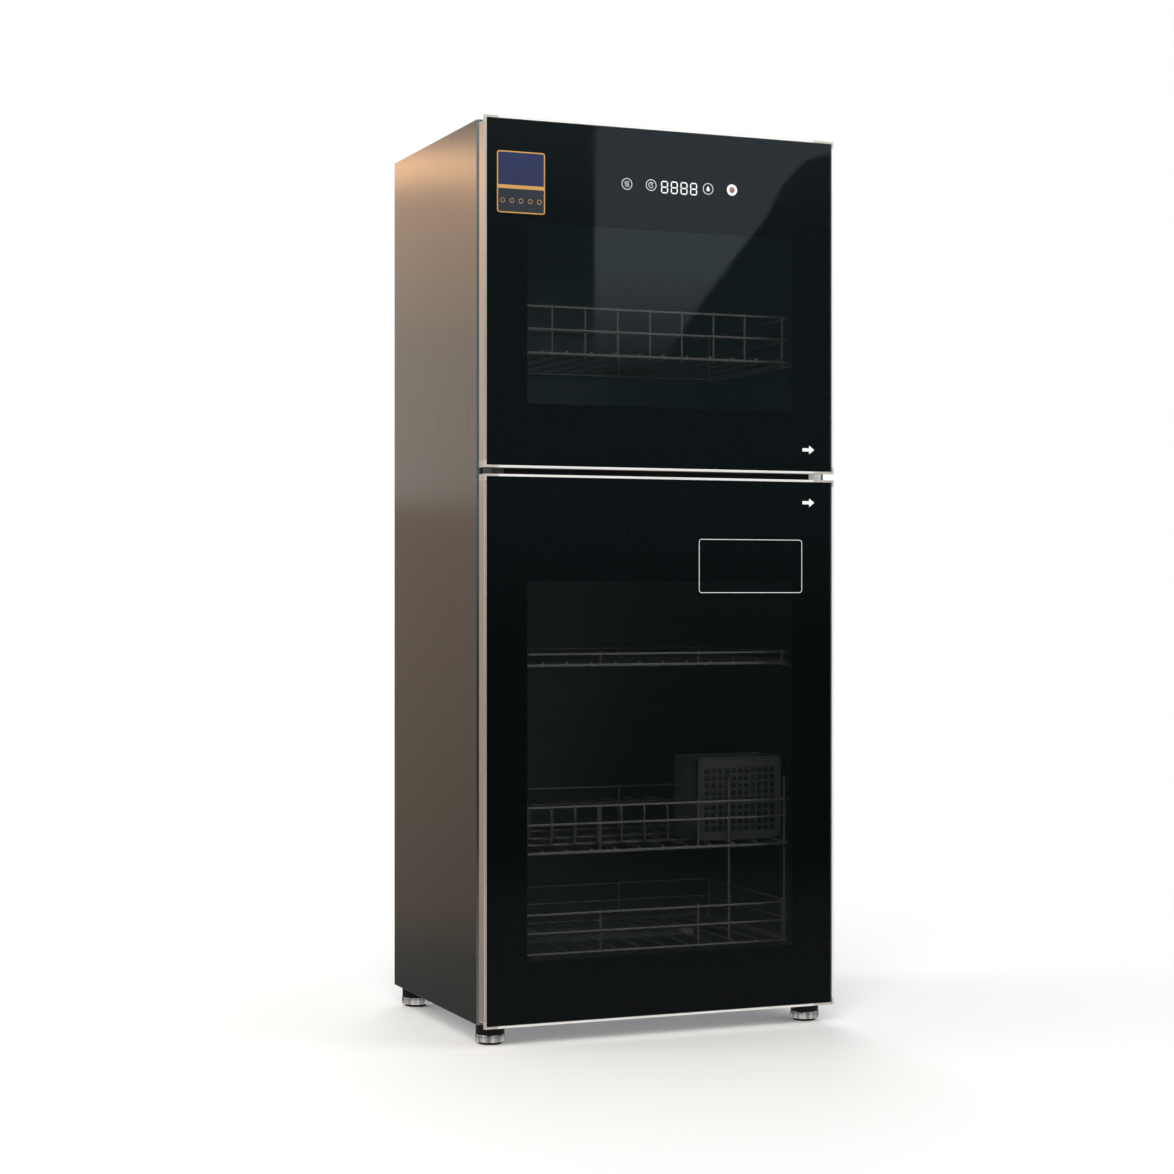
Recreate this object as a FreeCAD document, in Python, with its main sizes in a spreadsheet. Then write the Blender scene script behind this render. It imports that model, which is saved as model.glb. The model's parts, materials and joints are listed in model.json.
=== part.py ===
import FreeCAD, Part
import os
import re

import Sketcher

# Dish sterilizer cabinet: two compartments one above the other, each behind a glass door hinged on the
# left. Wire racks on wall runners draw out as the door in front of them opens.
# Millimetres. +X is to the right seen from the front, -Y is the front and +Z is up. The origin is at
# the centre of the underside of the feet.

DRIVING = {
    # overall
    "cabinet_width": 430,
    "cabinet_depth": 326,
    "door_stack": 1000,
    "foot_height": 22,
    "upper_door_height": 385.3,
    "door_gap": 7.3,
    "rear_projection": 2.5,
    "carcass_inset": 1,
    # sheet metal
    "sheet": 1,
    "bend_radius": 2.3,
    "front_flange": 20,
    "rear_flange": 12,
    "pan_depth": 12,
    "rail_depth": 15,
    "top_rail_height": 29,
    "middle_rail_below": 21,
    "middle_rail_above": 22,
    "bottom_rail_height": 30,
    # inner liners
    "wall_space": 30,
    "rear_space": 36,
    "liner_reveal": 3,
    "liner_flange": 8,
    "liner_corner": 12,
    # doors
    "door_thickness": 18,
    "gasket_gap": 6.2,
    "frame_lip": 2.5,
    "frame_wall": 1.5,
    "glass_thickness": 4,
    "glue_line": 0.2,
    "hinge_stile_width": 16,
    "grip_stile_width": 26,
    "grip_groove": 9,
    "grip_return": 9,
    "rail_height": 16,
    "corner_height": 7.5,
    "tenon_length": 15,
    "tenon_play": 0.1,
    "gasket_inset": 5,
    "gasket_width": 9,
    "gasket_thickness": 5.7,
    "gasket_corner": 3,
    "stile_fillet": 0.6,
    # hinges
    "hinge_in": 7,
    "hinge_back": 9.4,
    "pin_radius": 2.5,
    "pin_reach": 14,
    "running_fit": 0.05,
    "tongue_radius": 4.9,
    "tongue_neck": 1.2,
    "tongue_thickness": 3,
    "tongue_gap": 0.5,
    "bracket_gap": 0.35,
    "leaf_width": 28,
    "leaf_height": 15,
    "leaf_thickness": 2.5,
    "top_strap": 60,
    "bottom_strap": 40,
    # feet
    "foot_in": 19.5,
    "foot_clear": 2,
    "foot_rear_in": 26,
    "foot_disc_radius": 16,
    "foot_ring_radius": 16.6,
    "foot_pad_radius": 13.5,
    "foot_pad_height": 5.5,
    "foot_ring_height": 8,
    # racks
    "rack_play": 2,
    "rack_front": 9.8,
    "rack_rear": 10,
    "frame_wire": 2,
    "rail_wire": 1.5,
    "cross_wire": 1.4,
    "wire_gap": 0.04,
    "cross_count": 12,
    "cross_in": 20.2,
    "post_in": 22,
    "cup_rack_rise": 34,
    "plate_rack_rise": 113,
    "glass_rack_lift": 9.5,
    "upper_rack_rise": 101.8,
    "cup_low_rail": 26,
    "cup_high_rail": 47,
    "plate_low_rail": 34.5,
    "plate_high_rail": 54,
    "glass_rail": 15,
    "upper_low_rail": 29.5,
    "upper_high_rail": 55,
    "upright_top": 82,
    "bar_pitch": 40,
    "bar_count": 7,
    "runner_width": 11,
    "runner_drop": 8,
    "strip_width": 16,
    "strip_thickness": 1.2,
    "strip_front": 28,
    "strip_rear": 72,
    "strip_end": 18,
    "running_gap": 0.3,
    "divider_count": 8,
    "divider_height": 44,
    "divider_width": 70,
    "divider_bend": 10,
    # cutlery basket
    "basket_width": 112,
    "basket_depth": 66,
    "basket_height": 96,
    "basket_wall": 1.8,
    "basket_hole": 13,
    "basket_pitch": 16.4,
    "basket_columns": 6,
    "basket_side_columns": 3,
    "basket_rows": 5,
    "basket_front": 15,
    "basket_corner": 6,
    # drip tray
    "tray_height": 16,
    "tray_rear": 21,
    "tray_wall": 1,
    "tray_corner": 8,
    # touch controls
    "control_left": 150,
    "control_width": 170,
    "control_drop": 40,
    "control_height": 55,
    "control_wall": 1.4,
    "display_in": 60,
    "display_width": 49,
    "display_rise": 20,
    "display_height": 20,
    "display_depth": 8,
    "board_thickness": 1.6,
    "board_inset": 3,
    # lamp and heater
    "lamp_radius": 7.75,
    "lamp_in": 41,
    "lamp_drop": 20,
    "lamp_back": 190,
    "holder_length": 12,
    "holder_width": 22,
    "holder_drop": 2,
    "trough_flat": 32,
    "trough_width": 52,
    "trough_depth": 11,
    "heater_radius": 6,
    "heater_side": 40,
    "heater_rise": 15,
    "heater_in": 17,
    "ceramic_length": 14,
    "ceramic_wall": 2,
    "bracket_toe": 10,
    "bracket_width": 18,
    "reflector_low": 4,
    "reflector_bend": 30,
    "reflector_lift": 4,
    "reflector_hood": 12,
    # power board
    "power_width": 120,
    "power_height": 90,
    "power_thickness": 26,
    "power_rise": 120.3,
    "power_wall": 1.5,
    "board_gap": 2,
    # cord gland
    "gland_radius": 8,
    "gland_bore": 4,
    "gland_depth": 8,
    "gland_flange": 3.5,
    "gland_in": 60,
    "gland_rise": 60,
    # back panel
    "panel_corner": 4,
    "vent_rise": 210,
    "vent_slots": 6,
    "vent_middle": 8,
    "vent_width": 90,
    "vent_slot": 5,
    "vent_pitch": 13,
}

DERIVED = {
    "half_width": "cabinet_width / 2",
    "door_front": "-(cabinet_depth + rear_projection) / 2",
    "door_back": "door_front + door_thickness",
    "carcass_front": "door_back + gasket_gap",
    "side_rear": "door_front + cabinet_depth - sheet",
    "rear_face": "side_rear + sheet",
    "carcass_low": "foot_height + carcass_inset",
    "carcass_top": "foot_height + door_stack - carcass_inset",
    "lower_door_low": "foot_height",
    "lower_door_high": "foot_height + door_stack - upper_door_height - door_gap",
    "upper_door_low": "lower_door_high + door_gap",
    "upper_door_high": "foot_height + door_stack",
    "top_rail_low": "carcass_top - top_rail_height",
    "middle_rail_low": "lower_door_high - middle_rail_below",
    "middle_rail_high": "upper_door_low + middle_rail_above",
    "bottom_rail_high": "carcass_low + bottom_rail_height",
    "flange_edge": "half_width - front_flange",
    "liner_half": "half_width - wall_space",
    "liner_front": "carcass_front + sheet",
    "liner_rear": "rear_face - rear_space",
    "lower_floor": "bottom_rail_high + liner_reveal",
    "lower_ceiling": "middle_rail_low - liner_reveal",
    "upper_floor": "middle_rail_high + liner_reveal",
    "upper_ceiling": "top_rail_low - liner_reveal",
    "glass_back": "door_front + glass_thickness",
    "shelf_front": "glass_back + glue_line",
    "shelf_back": "shelf_front + frame_wall",
    "board_front": "glass_back + running_fit",
    "hinge_x": "-half_width + hinge_in",
    "hinge_y": "door_front + hinge_back",
    "stile_edge": "-half_width + hinge_stile_width",
    "grip_edge": "half_width - grip_stile_width",
    "bush_bore": "pin_radius + running_fit",
    "bracket_bore": "pin_radius + running_fit / 2",
    "tongue_notch": "2 * tongue_gap + tongue_thickness + 2",
    "rack_half": "liner_half - rack_play",
    "rack_width": "2 * rack_half",
    "rack_y": "liner_front + rack_front",
    "rack_end": "liner_rear - rack_rear",
    "rack_length": "rack_end - rack_y",
    "cross_pitch": "2 * (rack_half - cross_in) / (cross_count - 1)",
    "cup_rack_base": "lower_floor + cup_rack_rise",
    "plate_rack_base": "cup_rack_base + plate_rack_rise",
    "glass_rack_base": "(plate_rack_base + lower_ceiling) / 2 + glass_rack_lift",
    "upper_rack_base": "upper_floor + upper_rack_rise",
    "post_in_side": "3 * frame_wire + wire_gap",
    "post_x": "rack_half - post_in_side",
    "foot_x": "half_width - foot_in",
    "foot_front_y": "door_back + foot_clear + foot_disc_radius",
    "foot_rear_y": "side_rear - foot_rear_in",
    "basket_high_x": "post_x - frame_wire - running_gap",
    "basket_low_x": "basket_high_x - basket_width",
    "lamp_length": "2 * (liner_half - lamp_in)",
    "heater_length": "2 * (liner_half - heater_side)",
    "power_low": "upper_floor + power_rise",
}

# A cutting tool runs this far past the surface that it cuts.
PAST = 1
AXES = ("X", "Y", "Z")
MIRRORED = -1
PLAIN = 1

doc = FreeCAD.newDocument("dish_sterilizer_cabinet")
sheet = doc.addObject("Spreadsheet::Sheet", "Sizes")
for row, (alias, value) in enumerate(DRIVING.items(), start=1):
    sheet.set(f"A{row}", alias)
    sheet.set(f"B{row}", str(value))
    sheet.setAlias(f"B{row}", alias)
for row, (alias, formula) in enumerate(DERIVED.items(), start=1):
    sheet.set(f"D{row}", alias)
    sheet.set(f"E{row}", "=" + formula)
    sheet.setAlias(f"E{row}", alias)
doc.recompute()

ALIASES = set(DRIVING) | set(DERIVED)
parts = {}


def tied(text):
    """The expression with each size's name pointed at the sheet."""
    return re.sub(r"[a-z]\w*", lambda word: "Sizes." + word[0] if word[0] in ALIASES else word[0], str(text))


def size(text):
    """The expression's value in millimetres."""
    return float(sheet.evalExpression(tied(text)))


def tie(thing, **expressions):
    """Binds properties to expressions. A double underscore stands for a full stop."""
    for name, text in expressions.items():
        thing.setExpression(name.replace("__", "."), tied(text))
    return thing


def place(thing, x, y, z):
    return tie(thing, Placement__Base__x=x, Placement__Base__y=y, Placement__Base__z=z)


def named(thing, label):
    """Makes the object a sub-part: its label names its file."""
    thing.Label = label
    parts[label] = thing
    return thing


# Shapes that repeat


def block(name, low, high):
    """A box between two corners."""
    thing = doc.addObject("Part::Box", name)
    place(thing, *low)
    spans = [f"({b}) - ({a})" for a, b in zip(low, high)]
    return tie(thing, Length=spans[0], Width=spans[1], Height=spans[2])


def rod(name, axis, radius, start, length):
    """A round bar from start along the X, Y or Z axis."""
    thing = doc.addObject("Part::Cylinder", name)
    turn = {"X": (0, 1, 0, 90), "Y": (1, 0, 0, -90), "Z": (0, 0, 1, 0)}[axis]
    thing.Placement.Rotation = FreeCAD.Rotation(FreeCAD.Vector(*turn[:3]), turn[3])
    place(thing, *start)
    return tie(thing, Radius=radius, Height=length)


def wire(name, axis, radius, start, length):
    """A bar like rod, of eight flat sides, so that the many wires stay light and rest flat on each other."""
    thing = doc.addObject("Part::Prism", name)
    thing.Polygon = 8
    turn = {"X": (0, 1, 0, 90), "Y": (1, 0, 0, -90), "Z": (0, 0, 1, 0)}[axis]
    upright = FreeCAD.Rotation(FreeCAD.Vector(*turn[:3]), turn[3])
    thing.Placement.Rotation = upright.multiply(FreeCAD.Rotation(FreeCAD.Vector(0, 0, 1), 22.5))
    place(thing, *start)
    return tie(thing, Circumradius=f"({radius}) / cos(22.5 deg)", Height=length)


def group(name, things):
    """Separate solids held in one object."""
    thing = doc.addObject("Part::Compound", name)
    thing.Links = list(things)
    return thing


def joined(name, things):
    thing = doc.addObject("Part::MultiFuse", name)
    thing.Shapes = list(things)
    thing.Refine = True
    return thing


def cut(name, base, tools):
    thing = doc.addObject("Part::Cut", name)
    thing.Base = base
    thing.Tool = tools[0] if len(tools) == 1 else group(name + "_tools", tools)
    return thing


def copy_at(name, thing, x, y, z):
    """Another one of the same piece, moved by x, y, z."""
    link = doc.addObject("App::Link", name)
    link.LinkedObject = thing
    link.LinkTransform = True
    return place(link, x, y, z)


def outline(sketch, points, closed=True):
    """Draws straight lines through the points and ties each point to its two expressions."""
    first = sketch.GeometryCount
    spots = [FreeCAD.Vector(size(x), size(y), 0) for x, y in points]
    count = len(spots)
    lines = count if closed else count - 1
    for index in range(lines):
        sketch.addGeometry(Part.LineSegment(spots[index], spots[(index + 1) % count]))
    for index in range(lines if closed else lines - 1):
        after = first + (index + 1) % count
        sketch.addConstraint(Sketcher.Constraint("Coincident", first + index, 2, after, 1))
    for index, (x, y) in enumerate(points):
        line, end = (first + index, 1) if index < lines else (first + index - 1, 2)
        for kind, text in (("DistanceX", x), ("DistanceY", y)):
            rule = Sketcher.Constraint(kind, -1, 1, line, end, size(text))
            number = sketch.addConstraint(rule)
            sketch.setExpression(f"Constraints[{number}]", tied(text))


def rectangle(low, high):
    return [(low[0], low[1]), (high[0], low[1]), (high[0], high[1]), (low[0], high[1])]


def sketch_on(body, axis, at, outlines, name):
    """A sketch across the axis, at that distance along it. Its two directions are the other two axes."""
    role = {"X": "YZ_Plane", "Y": "XZ_Plane", "Z": "XY_Plane"}[axis]
    sketch = body.newObject("Sketcher::SketchObject", name)
    plane = [feature for feature in body.Origin.OriginFeatures if feature.Role == role][0]
    sketch.AttachmentSupport = [(plane, "")]
    sketch.MapMode = "FlatFace"
    tie(sketch, AttachmentOffset__Base__z=f"-({at})" if axis == "Y" else at)
    for points in outlines:
        outline(sketch, points)
    sketch.Visibility = False
    return sketch


def pad(body, axis, low, high, outlines, name="Pad"):
    """Adds the outlines' area between two distances along the axis."""
    sketch = sketch_on(body, axis, low, outlines, name + "Sketch")
    feature = body.newObject("PartDesign::Pad", name)
    feature.Profile = sketch
    feature.Reversed = axis == "Y"
    tie(feature, Length=f"({high}) - ({low})")
    doc.recompute()
    return feature


def pocket(body, axis, low, high, outlines, name="Pocket"):
    """Takes the outlines' area away between two distances along the axis."""
    before = body.Shape.Volume
    sketch = sketch_on(body, axis, low, outlines, name + "Sketch")
    feature = body.newObject("PartDesign::Pocket", name)
    feature.Profile = sketch
    feature.Reversed = axis != "Y"
    tie(feature, Length=f"({high}) - ({low})")
    doc.recompute()
    if body.Shape.Volume > before - 1e-6:
        raise ValueError(f"{body.Name}: {name} takes nothing away")
    return feature


def new_body(name):
    return doc.addObject("PartDesign::Body", name)


def edges_where(body, test):
    """Names of the body's straight edges whose direction and middle pass the test."""
    names = []
    for number, edge in enumerate(body.Shape.Edges, start=1):
        start, end = edge.Vertexes[0].Point, edge.Vertexes[-1].Point
        way = (end - start).normalize() if (end - start).Length > 1e-6 else end - start
        if edge.Curve.TypeId == "Part::GeomLine" and test(way, (start + end) * 0.5):
            names.append(f"Edge{number}")
    return names


def ease(body, radius, test, kind="Fillet"):
    """Rounds or chamfers the edges that pass the test."""
    base = (body.Tip, edges_where(body, test))
    feature = body.newObject("PartDesign::" + kind, kind)
    feature.Base = base
    tie(feature, **{"Radius" if kind == "Fillet" else "Size": radius})
    doc.recompute()
    return feature


def along(axis):
    """True for an edge that runs along the axis."""
    index = AXES.index(axis)
    return lambda way, middle: abs(way[index]) > 0.999


def shell_box(name, low, high, mouth, wall, corner):
    """An open box of sheet: mouth names the open side, such as -Y. Its deep corners are rounded."""
    axis = mouth[1]
    index = AXES.index(axis)
    body = new_body(name)
    flat = [number for number in range(3) if number != index]
    corners = [tuple(end[number] for number in flat) for end in (low, high)]
    pad(body, axis, low[index], high[index], [rectangle(*corners)])
    if corner:
        ease(body, corner, along(axis))
    side = 1 if mouth[0] == "+" else -1
    open_face = max(
        range(len(body.Shape.Faces)),
        key=lambda number: side * body.Shape.Faces[number].CenterOfMass[index],
    )
    base = (body.Tip, [f"Face{open_face + 1}"])
    hollow = body.newObject("PartDesign::Thickness", "Thickness")
    hollow.Base = base
    hollow.Reversed = True
    hollow.Join = 1
    tie(hollow, Value=wall)
    doc.recompute()
    return body


def revolved(name, axis, centre, points):
    """Turns a half outline of (radius, distance along the axis) about the axis through the centre."""
    body = new_body(name)
    sketch = sketch_on(body, "X", "0", [points], "Profile")
    feature = body.newObject("PartDesign::Revolution", "Revolution")
    feature.Profile = sketch
    feature.ReferenceAxis = (sketch, ["V_Axis"])
    feature.Angle = 360
    doc.recompute()
    if axis == "Y":
        body.Placement.Rotation = FreeCAD.Rotation(FreeCAD.Vector(1, 0, 0), -90)
    return place(body, *centre)


# Carcass of folded sheet


def side_panel(side, name):
    """A C of sheet with a wide flange at the front and a narrow one at the rear."""
    out = f"{side} * half_width"
    skin = f"{side} * (half_width - sheet)"
    body = new_body(name)
    points = [
        (out, "carcass_front"),
        (f"{side} * flange_edge", "carcass_front"),
        (f"{side} * flange_edge", "carcass_front + sheet"),
        (skin, "carcass_front + sheet"),
        (skin, "side_rear - sheet"),
        (f"{side} * (half_width - rear_flange)", "side_rear - sheet"),
        (f"{side} * (half_width - rear_flange)", "side_rear"),
        (out, "side_rear"),
    ]
    pad(body, "Z", "carcass_low", "carcass_top", [points])
    for edge, radius in (("half_width", "bend_radius + sheet"), ("half_width - sheet", "bend_radius")):
        x = side * size(edge)
        ease(body, radius, lambda way, at: abs(way.z) > 0.999 and abs(at.x - x) < 0.01)
    return body


def tongue_slot(name, low, high):
    """The room that a hinge tongue needs through the front of the carcass."""
    reach = "(tongue_radius + 2 * bracket_gap)"
    ends = ("door_back", "carcass_front + 2 * sheet + bend_radius")
    return block(name, (f"hinge_x - {reach}", ends[0], low), (f"hinge_x + {reach}", ends[1], high))


def carcass():
    named(side_panel(PLAIN, "RightSidePanel"), "right_side_panel")
    top_slot = ("upper_door_high - 2 * tongue_gap - 2 * tongue_thickness", "upper_door_high")
    low_slot = ("lower_door_low", "lower_door_low + 2 * tongue_gap + 2 * tongue_thickness")
    slots = [tongue_slot("LeftTopSlot", *top_slot), tongue_slot("LeftLowSlot", *low_slot)]
    named(cut("LeftSidePanel", side_panel(MIRRORED, "LeftSide"), slots), "left_side_panel")

    inside = "half_width - sheet"
    front = "carcass_front + sheet"
    rear = "side_rear - sheet"
    top = shell_box(
        "TopSheet",
        (f"-({inside})", front, "carcass_top - pan_depth"),
        (inside, rear, "carcass_top"),
        "-Z",
        "sheet",
        "bend_radius + sheet",
    )
    slot = tongue_slot("TopPanelSlot", top_slot[0], "carcass_top - sheet")
    named(cut("TopPanel", top, [slot]), "top_panel")
    bottom = shell_box(
        "BottomSheet",
        (f"-({inside})", front, "carcass_low"),
        (inside, rear, "carcass_low + pan_depth"),
        "+Z",
        "sheet",
        "bend_radius + sheet",
    )
    slot = tongue_slot("BottomPanelSlot", "carcass_low + sheet", low_slot[1])
    named(cut("BottomPanel", bottom, [slot]), "bottom_panel")

    span = ("-flange_edge", "flange_edge")
    web_back = "carcass_front + rail_depth"
    front_in = "carcass_front + sheet"
    middle = new_body("MiddleRail")
    web_low = "middle_rail_low + liner_flange"
    web_high = "middle_rail_high - liner_flange"
    pad(
        middle,
        "X",
        *span,
        [
            [
                ("carcass_front", "middle_rail_low"),
                (front_in, "middle_rail_low"),
                (front_in, web_low),
                (web_back, web_low),
                (web_back, f"{web_low} + sheet"),
                (front_in, f"{web_low} + sheet"),
                (front_in, f"{web_high} - sheet"),
                (web_back, f"{web_high} - sheet"),
                (web_back, web_high),
                (front_in, web_high),
                (front_in, "middle_rail_high"),
                ("carcass_front", "middle_rail_high"),
            ]
        ],
    )
    named(middle, "front_middle_rail")
    for label, low, high, web in (
        ("front_top_rail", "top_rail_low", "carcass_top", "top_rail_low + liner_flange"),
        ("front_bottom_rail", "carcass_low", "bottom_rail_high", "bottom_rail_high - liner_flange - sheet"),
    ):
        rail = new_body(label.title().replace("_", ""))
        points = [
            ("carcass_front", low),
            (front_in, low),
            (front_in, web),
            (web_back, web),
            (web_back, f"{web} + sheet"),
            (front_in, f"{web} + sheet"),
            (front_in, high),
            ("carcass_front", high),
        ]
        pad(rail, "X", *span, [points])
        named(rail, label)


def liner(name, floor, ceiling):
    """One compartment's inner box, with its flange behind the front of the carcass."""
    half = "liner_half + sheet"
    body = shell_box(
        name,
        (f"-({half})", "liner_front", f"{floor} - sheet"),
        (half, "liner_rear + sheet", f"{ceiling} + sheet"),
        "-Y",
        "sheet",
        "liner_corner",
    )
    wide = "liner_half + liner_flange + liner_reveal"
    plate = rectangle((f"-({wide})", f"{floor} - liner_flange"), (wide, f"{ceiling} + liner_flange"))
    pad(body, "Y", "liner_front", "liner_front + sheet", [plate], "Flange")
    mouth = new_body(name + "Mouth")
    opening = rectangle(("-liner_half", floor), ("liner_half", ceiling))
    pad(mouth, "Y", "liner_front - sheet", "liner_front + 2 * sheet", [opening])
    ease(mouth, "liner_corner - sheet", along("Y"))
    return cut(name + "Open", body, [mouth])


def liners():
    named(liner("UpperLiner", "upper_floor", "upper_ceiling"), "upper_liner")
    named(liner("LowerLiner", "lower_floor", "lower_ceiling"), "lower_liner")


def feet():
    """Four feet, each a black disc under the pan, a chrome ring and a rubber pad."""
    ring_top = "foot_pad_height + foot_ring_height"
    spots = [(x, y) for y in ("foot_front_y", "foot_rear_y") for x in ("-foot_x", "foot_x")]
    for label, radius, low, high in (
        ("foot_pads", "foot_pad_radius", "0", "foot_pad_height"),
        ("foot_rings", "foot_ring_radius", "foot_pad_height", ring_top),
        ("foot_discs", "foot_disc_radius", ring_top, "carcass_low"),
    ):
        stem = label.title().replace("_", "")
        master = rod(stem, "Z", radius, ("0", "0", low), f"{high} - ({low})")
        copies = [copy_at(f"{stem}{number}", master, x, y, "0") for number, (x, y) in enumerate(spots)]
        named(group(stem + "Set", copies), label)


# Doors


def door_outline(door):
    return f"{door}_door_low", f"{door}_door_high"


def stiles(door):
    """The hinge stile is a tube with a lip for the glass; the grip stile leaves a groove for the fingers."""
    low, high = door_outline(door)
    ends = (f"{low} + corner_height", f"{high} - corner_height")
    out = "-half_width"
    hinge = new_body(door.title() + "HingeStile")
    tube = [
        (out, "door_front"),
        (f"{out} + frame_lip", "door_front"),
        (f"{out} + frame_lip", "shelf_front"),
        ("stile_edge", "shelf_front"),
        ("stile_edge", "door_back"),
        (out, "door_back"),
    ]
    hollow = rectangle(
        (f"{out} + frame_wall", "shelf_back"), ("stile_edge - frame_wall", "door_back - frame_wall")
    )
    pad(hinge, "Z", *ends, [tube, hollow])
    outer = size(out)
    ease(hinge, "stile_fillet", lambda way, at: abs(way.z) > 0.999 and at.x < outer + 0.01)
    named(hinge, f"{door}_door_hinge_stile")

    grip = new_body(door.title() + "GripStile")
    edge = "half_width"
    groove = "half_width - grip_groove"
    section = [
        (edge, "door_front"),
        (f"{edge} - frame_lip", "door_front"),
        (f"{edge} - frame_lip", "shelf_front"),
        ("grip_edge", "shelf_front"),
        ("grip_edge", "door_back"),
        (groove, "door_back"),
        (groove, "shelf_back"),
        (f"{edge} - frame_wall", "shelf_back"),
        (f"{edge} - frame_wall", "door_front + grip_return"),
        (edge, "door_front + grip_return"),
    ]
    hollow = rectangle(
        ("grip_edge + frame_wall", "shelf_back"), (f"{groove} - frame_wall", "door_back - frame_wall")
    )
    pad(grip, "Z", *ends, [section, hollow])
    named(grip, f"{door}_door_grip_stile")


def level(door, end, step):
    """Height of a place on the door, step in from its lower or upper end."""
    low, high = door_outline(door)
    return f"{low} + {step}" if end == "Low" else f"{high} - ({step})"


def rails(door):
    """Channels across the top and the bottom, open towards the middle of the door."""
    for label, end in (("bottom", "Low"), ("top", "High")):
        rail = new_body(f"{door.title()}{end}Rail")
        steps = [
            ("door_front", "0"),
            ("door_back", "0"),
            ("door_back", "rail_height"),
            ("door_back - frame_wall", "rail_height"),
            ("door_back - frame_wall", "frame_wall"),
            ("shelf_back", "frame_wall"),
            ("shelf_back", "rail_height"),
            ("shelf_front", "rail_height"),
            ("shelf_front", "frame_lip"),
            ("door_front", "frame_lip"),
        ]
        points = [(y, level(door, end, step)) for y, step in steps]
        pad(rail, "X", "stile_edge", "grip_edge", [points])
        named(rail, f"{door}_door_{label}_rail")


def slab(name, door, end, x, y, steps):
    """A block at one end of the door, between two steps in from that end."""
    heights = [level(door, end, f"({step})") for step in steps]
    if end == "High":
        heights.reverse()
    return block(name, (x[0], y[0], heights[0]), (x[1], y[1], heights[1]))


BODY_STEPS = ("0", "corner_height")
TENON_STEPS = ("corner_height", "corner_height + tenon_length")
RECESS_STEPS = ("frame_lip", "corner_height + tenon_length")
RECESS_Y = (f"door_front - {PAST}", "shelf_front")
TENON_Y = ("shelf_back + tenon_play", "door_back - frame_wall - tenon_play")


def hinge_corner(door, end):
    """A moulded corner on the hinge side. The pin turns in its bore."""
    stem = f"{door.title()}{end}Hinge"
    out = "-half_width"
    tenon_x = (f"{out} + frame_wall + tenon_play", "stile_edge - frame_wall - tenon_play")
    solids = [
        slab(stem + "Block", door, end, (out, "stile_edge"), ("door_front", "door_back"), BODY_STEPS),
        slab(stem + "Tenon", door, end, tenon_x, TENON_Y, TENON_STEPS),
    ]
    recess_x = (f"{out} + frame_lip", "stile_edge")
    takes = [slab(stem + "Recess", door, end, recess_x, RECESS_Y, RECESS_STEPS)]
    reach = f"(corner_height + tenon_length + {PAST})"
    bore_low = level(door, end, reach if end == "High" else f"-{PAST}")
    bore_spot = ("hinge_x", "hinge_y", bore_low)
    takes.append(rod(stem + "Bore", "Z", "bush_bore", bore_spot, f"{reach} + {PAST}"))
    if (door, end) in (("upper", "High"), ("lower", "Low")):
        notch_x = (f"{out} - {PAST}", f"stile_edge + {PAST}")
        notch_y = ("shelf_front", f"door_back + {PAST}")
        takes.append(slab(stem + "Notch", door, end, notch_x, notch_y, (f"-{PAST}", "tongue_notch")))
    return cut(stem + "Cut", joined(stem, solids), takes)


def grip_corner(door, end):
    """A moulded corner on the grip side, with the finger groove running out through it."""
    stem = f"{door.title()}{end}Grip"
    out = "half_width"
    groove = "half_width - grip_groove"
    return_x = ("half_width - frame_wall", out)
    return_y = ("door_front", "door_front + grip_return")
    tenon_x = ("grip_edge + frame_wall + tenon_play", f"{groove} - frame_wall - tenon_play")
    solids = [
        slab(stem + "Block", door, end, ("grip_edge", out), ("door_front", "shelf_back"), BODY_STEPS),
        slab(stem + "Return", door, end, return_x, return_y, BODY_STEPS),
        slab(stem + "Core", door, end, ("grip_edge", groove), ("shelf_front", "door_back"), BODY_STEPS),
        slab(stem + "Tenon", door, end, tenon_x, TENON_Y, TENON_STEPS),
    ]
    recess_x = (f"grip_edge - {PAST}", "half_width - frame_lip")
    takes = [slab(stem + "Recess", door, end, recess_x, RECESS_Y, RECESS_STEPS)]
    return cut(stem + "Cut", joined(stem, solids), takes)


def corner_pieces(door):
    """Moulded corners that close the frame, each with a tenon into its stile."""
    ends = ("Low", "High")
    hinge_set = [hinge_corner(door, end) for end in ends]
    grip_set = [grip_corner(door, end) for end in ends]
    named(group(door.title() + "HingeCorners", hinge_set), f"{door}_door_hinge_corners")
    named(group(door.title() + "GripCorners", grip_set), f"{door}_door_grip_corners")


def glass(door):
    low, high = door_outline(door)
    edge = "frame_lip + running_fit * 2"
    pane = new_body(door.title() + "Glass")
    corners = (f"-half_width + {edge}", f"{low} + {edge}"), (f"half_width - ({edge})", f"{high} - ({edge})")
    pad(pane, "Y", "door_front", "glass_back", [rectangle(*corners)])
    named(pane, f"{door}_door_glass")


def gasket(door):
    """The magnetic seal, a ring on the back of the frame."""
    low, high = door_outline(door)
    ring = new_body(door.title() + "Gasket")
    left, right = "-half_width + gasket_inset", "half_width - grip_groove - 1"
    bottom, top = f"{low} + gasket_inset", f"{high} - gasket_inset"
    outer = rectangle((left, bottom), (right, top))
    inner = rectangle(
        (f"{left} + gasket_width", f"{bottom} + gasket_width"),
        (f"{right} - gasket_width", f"{top} - gasket_width"),
    )
    pad(ring, "Y", "door_back", "door_back + gasket_thickness", [outer, inner])
    rim = (size(left), size(right))
    ease(
        ring,
        "gasket_corner",
        lambda way, at: abs(way.y) > 0.999 and min(abs(at.x - x) for x in rim) < 0.01,
    )
    named(ring, f"{door}_door_gasket")


def doors():
    for door in ("upper", "lower"):
        glass(door)
        stiles(door)
        rails(door)
        corner_pieces(door)
        gasket(door)


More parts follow.
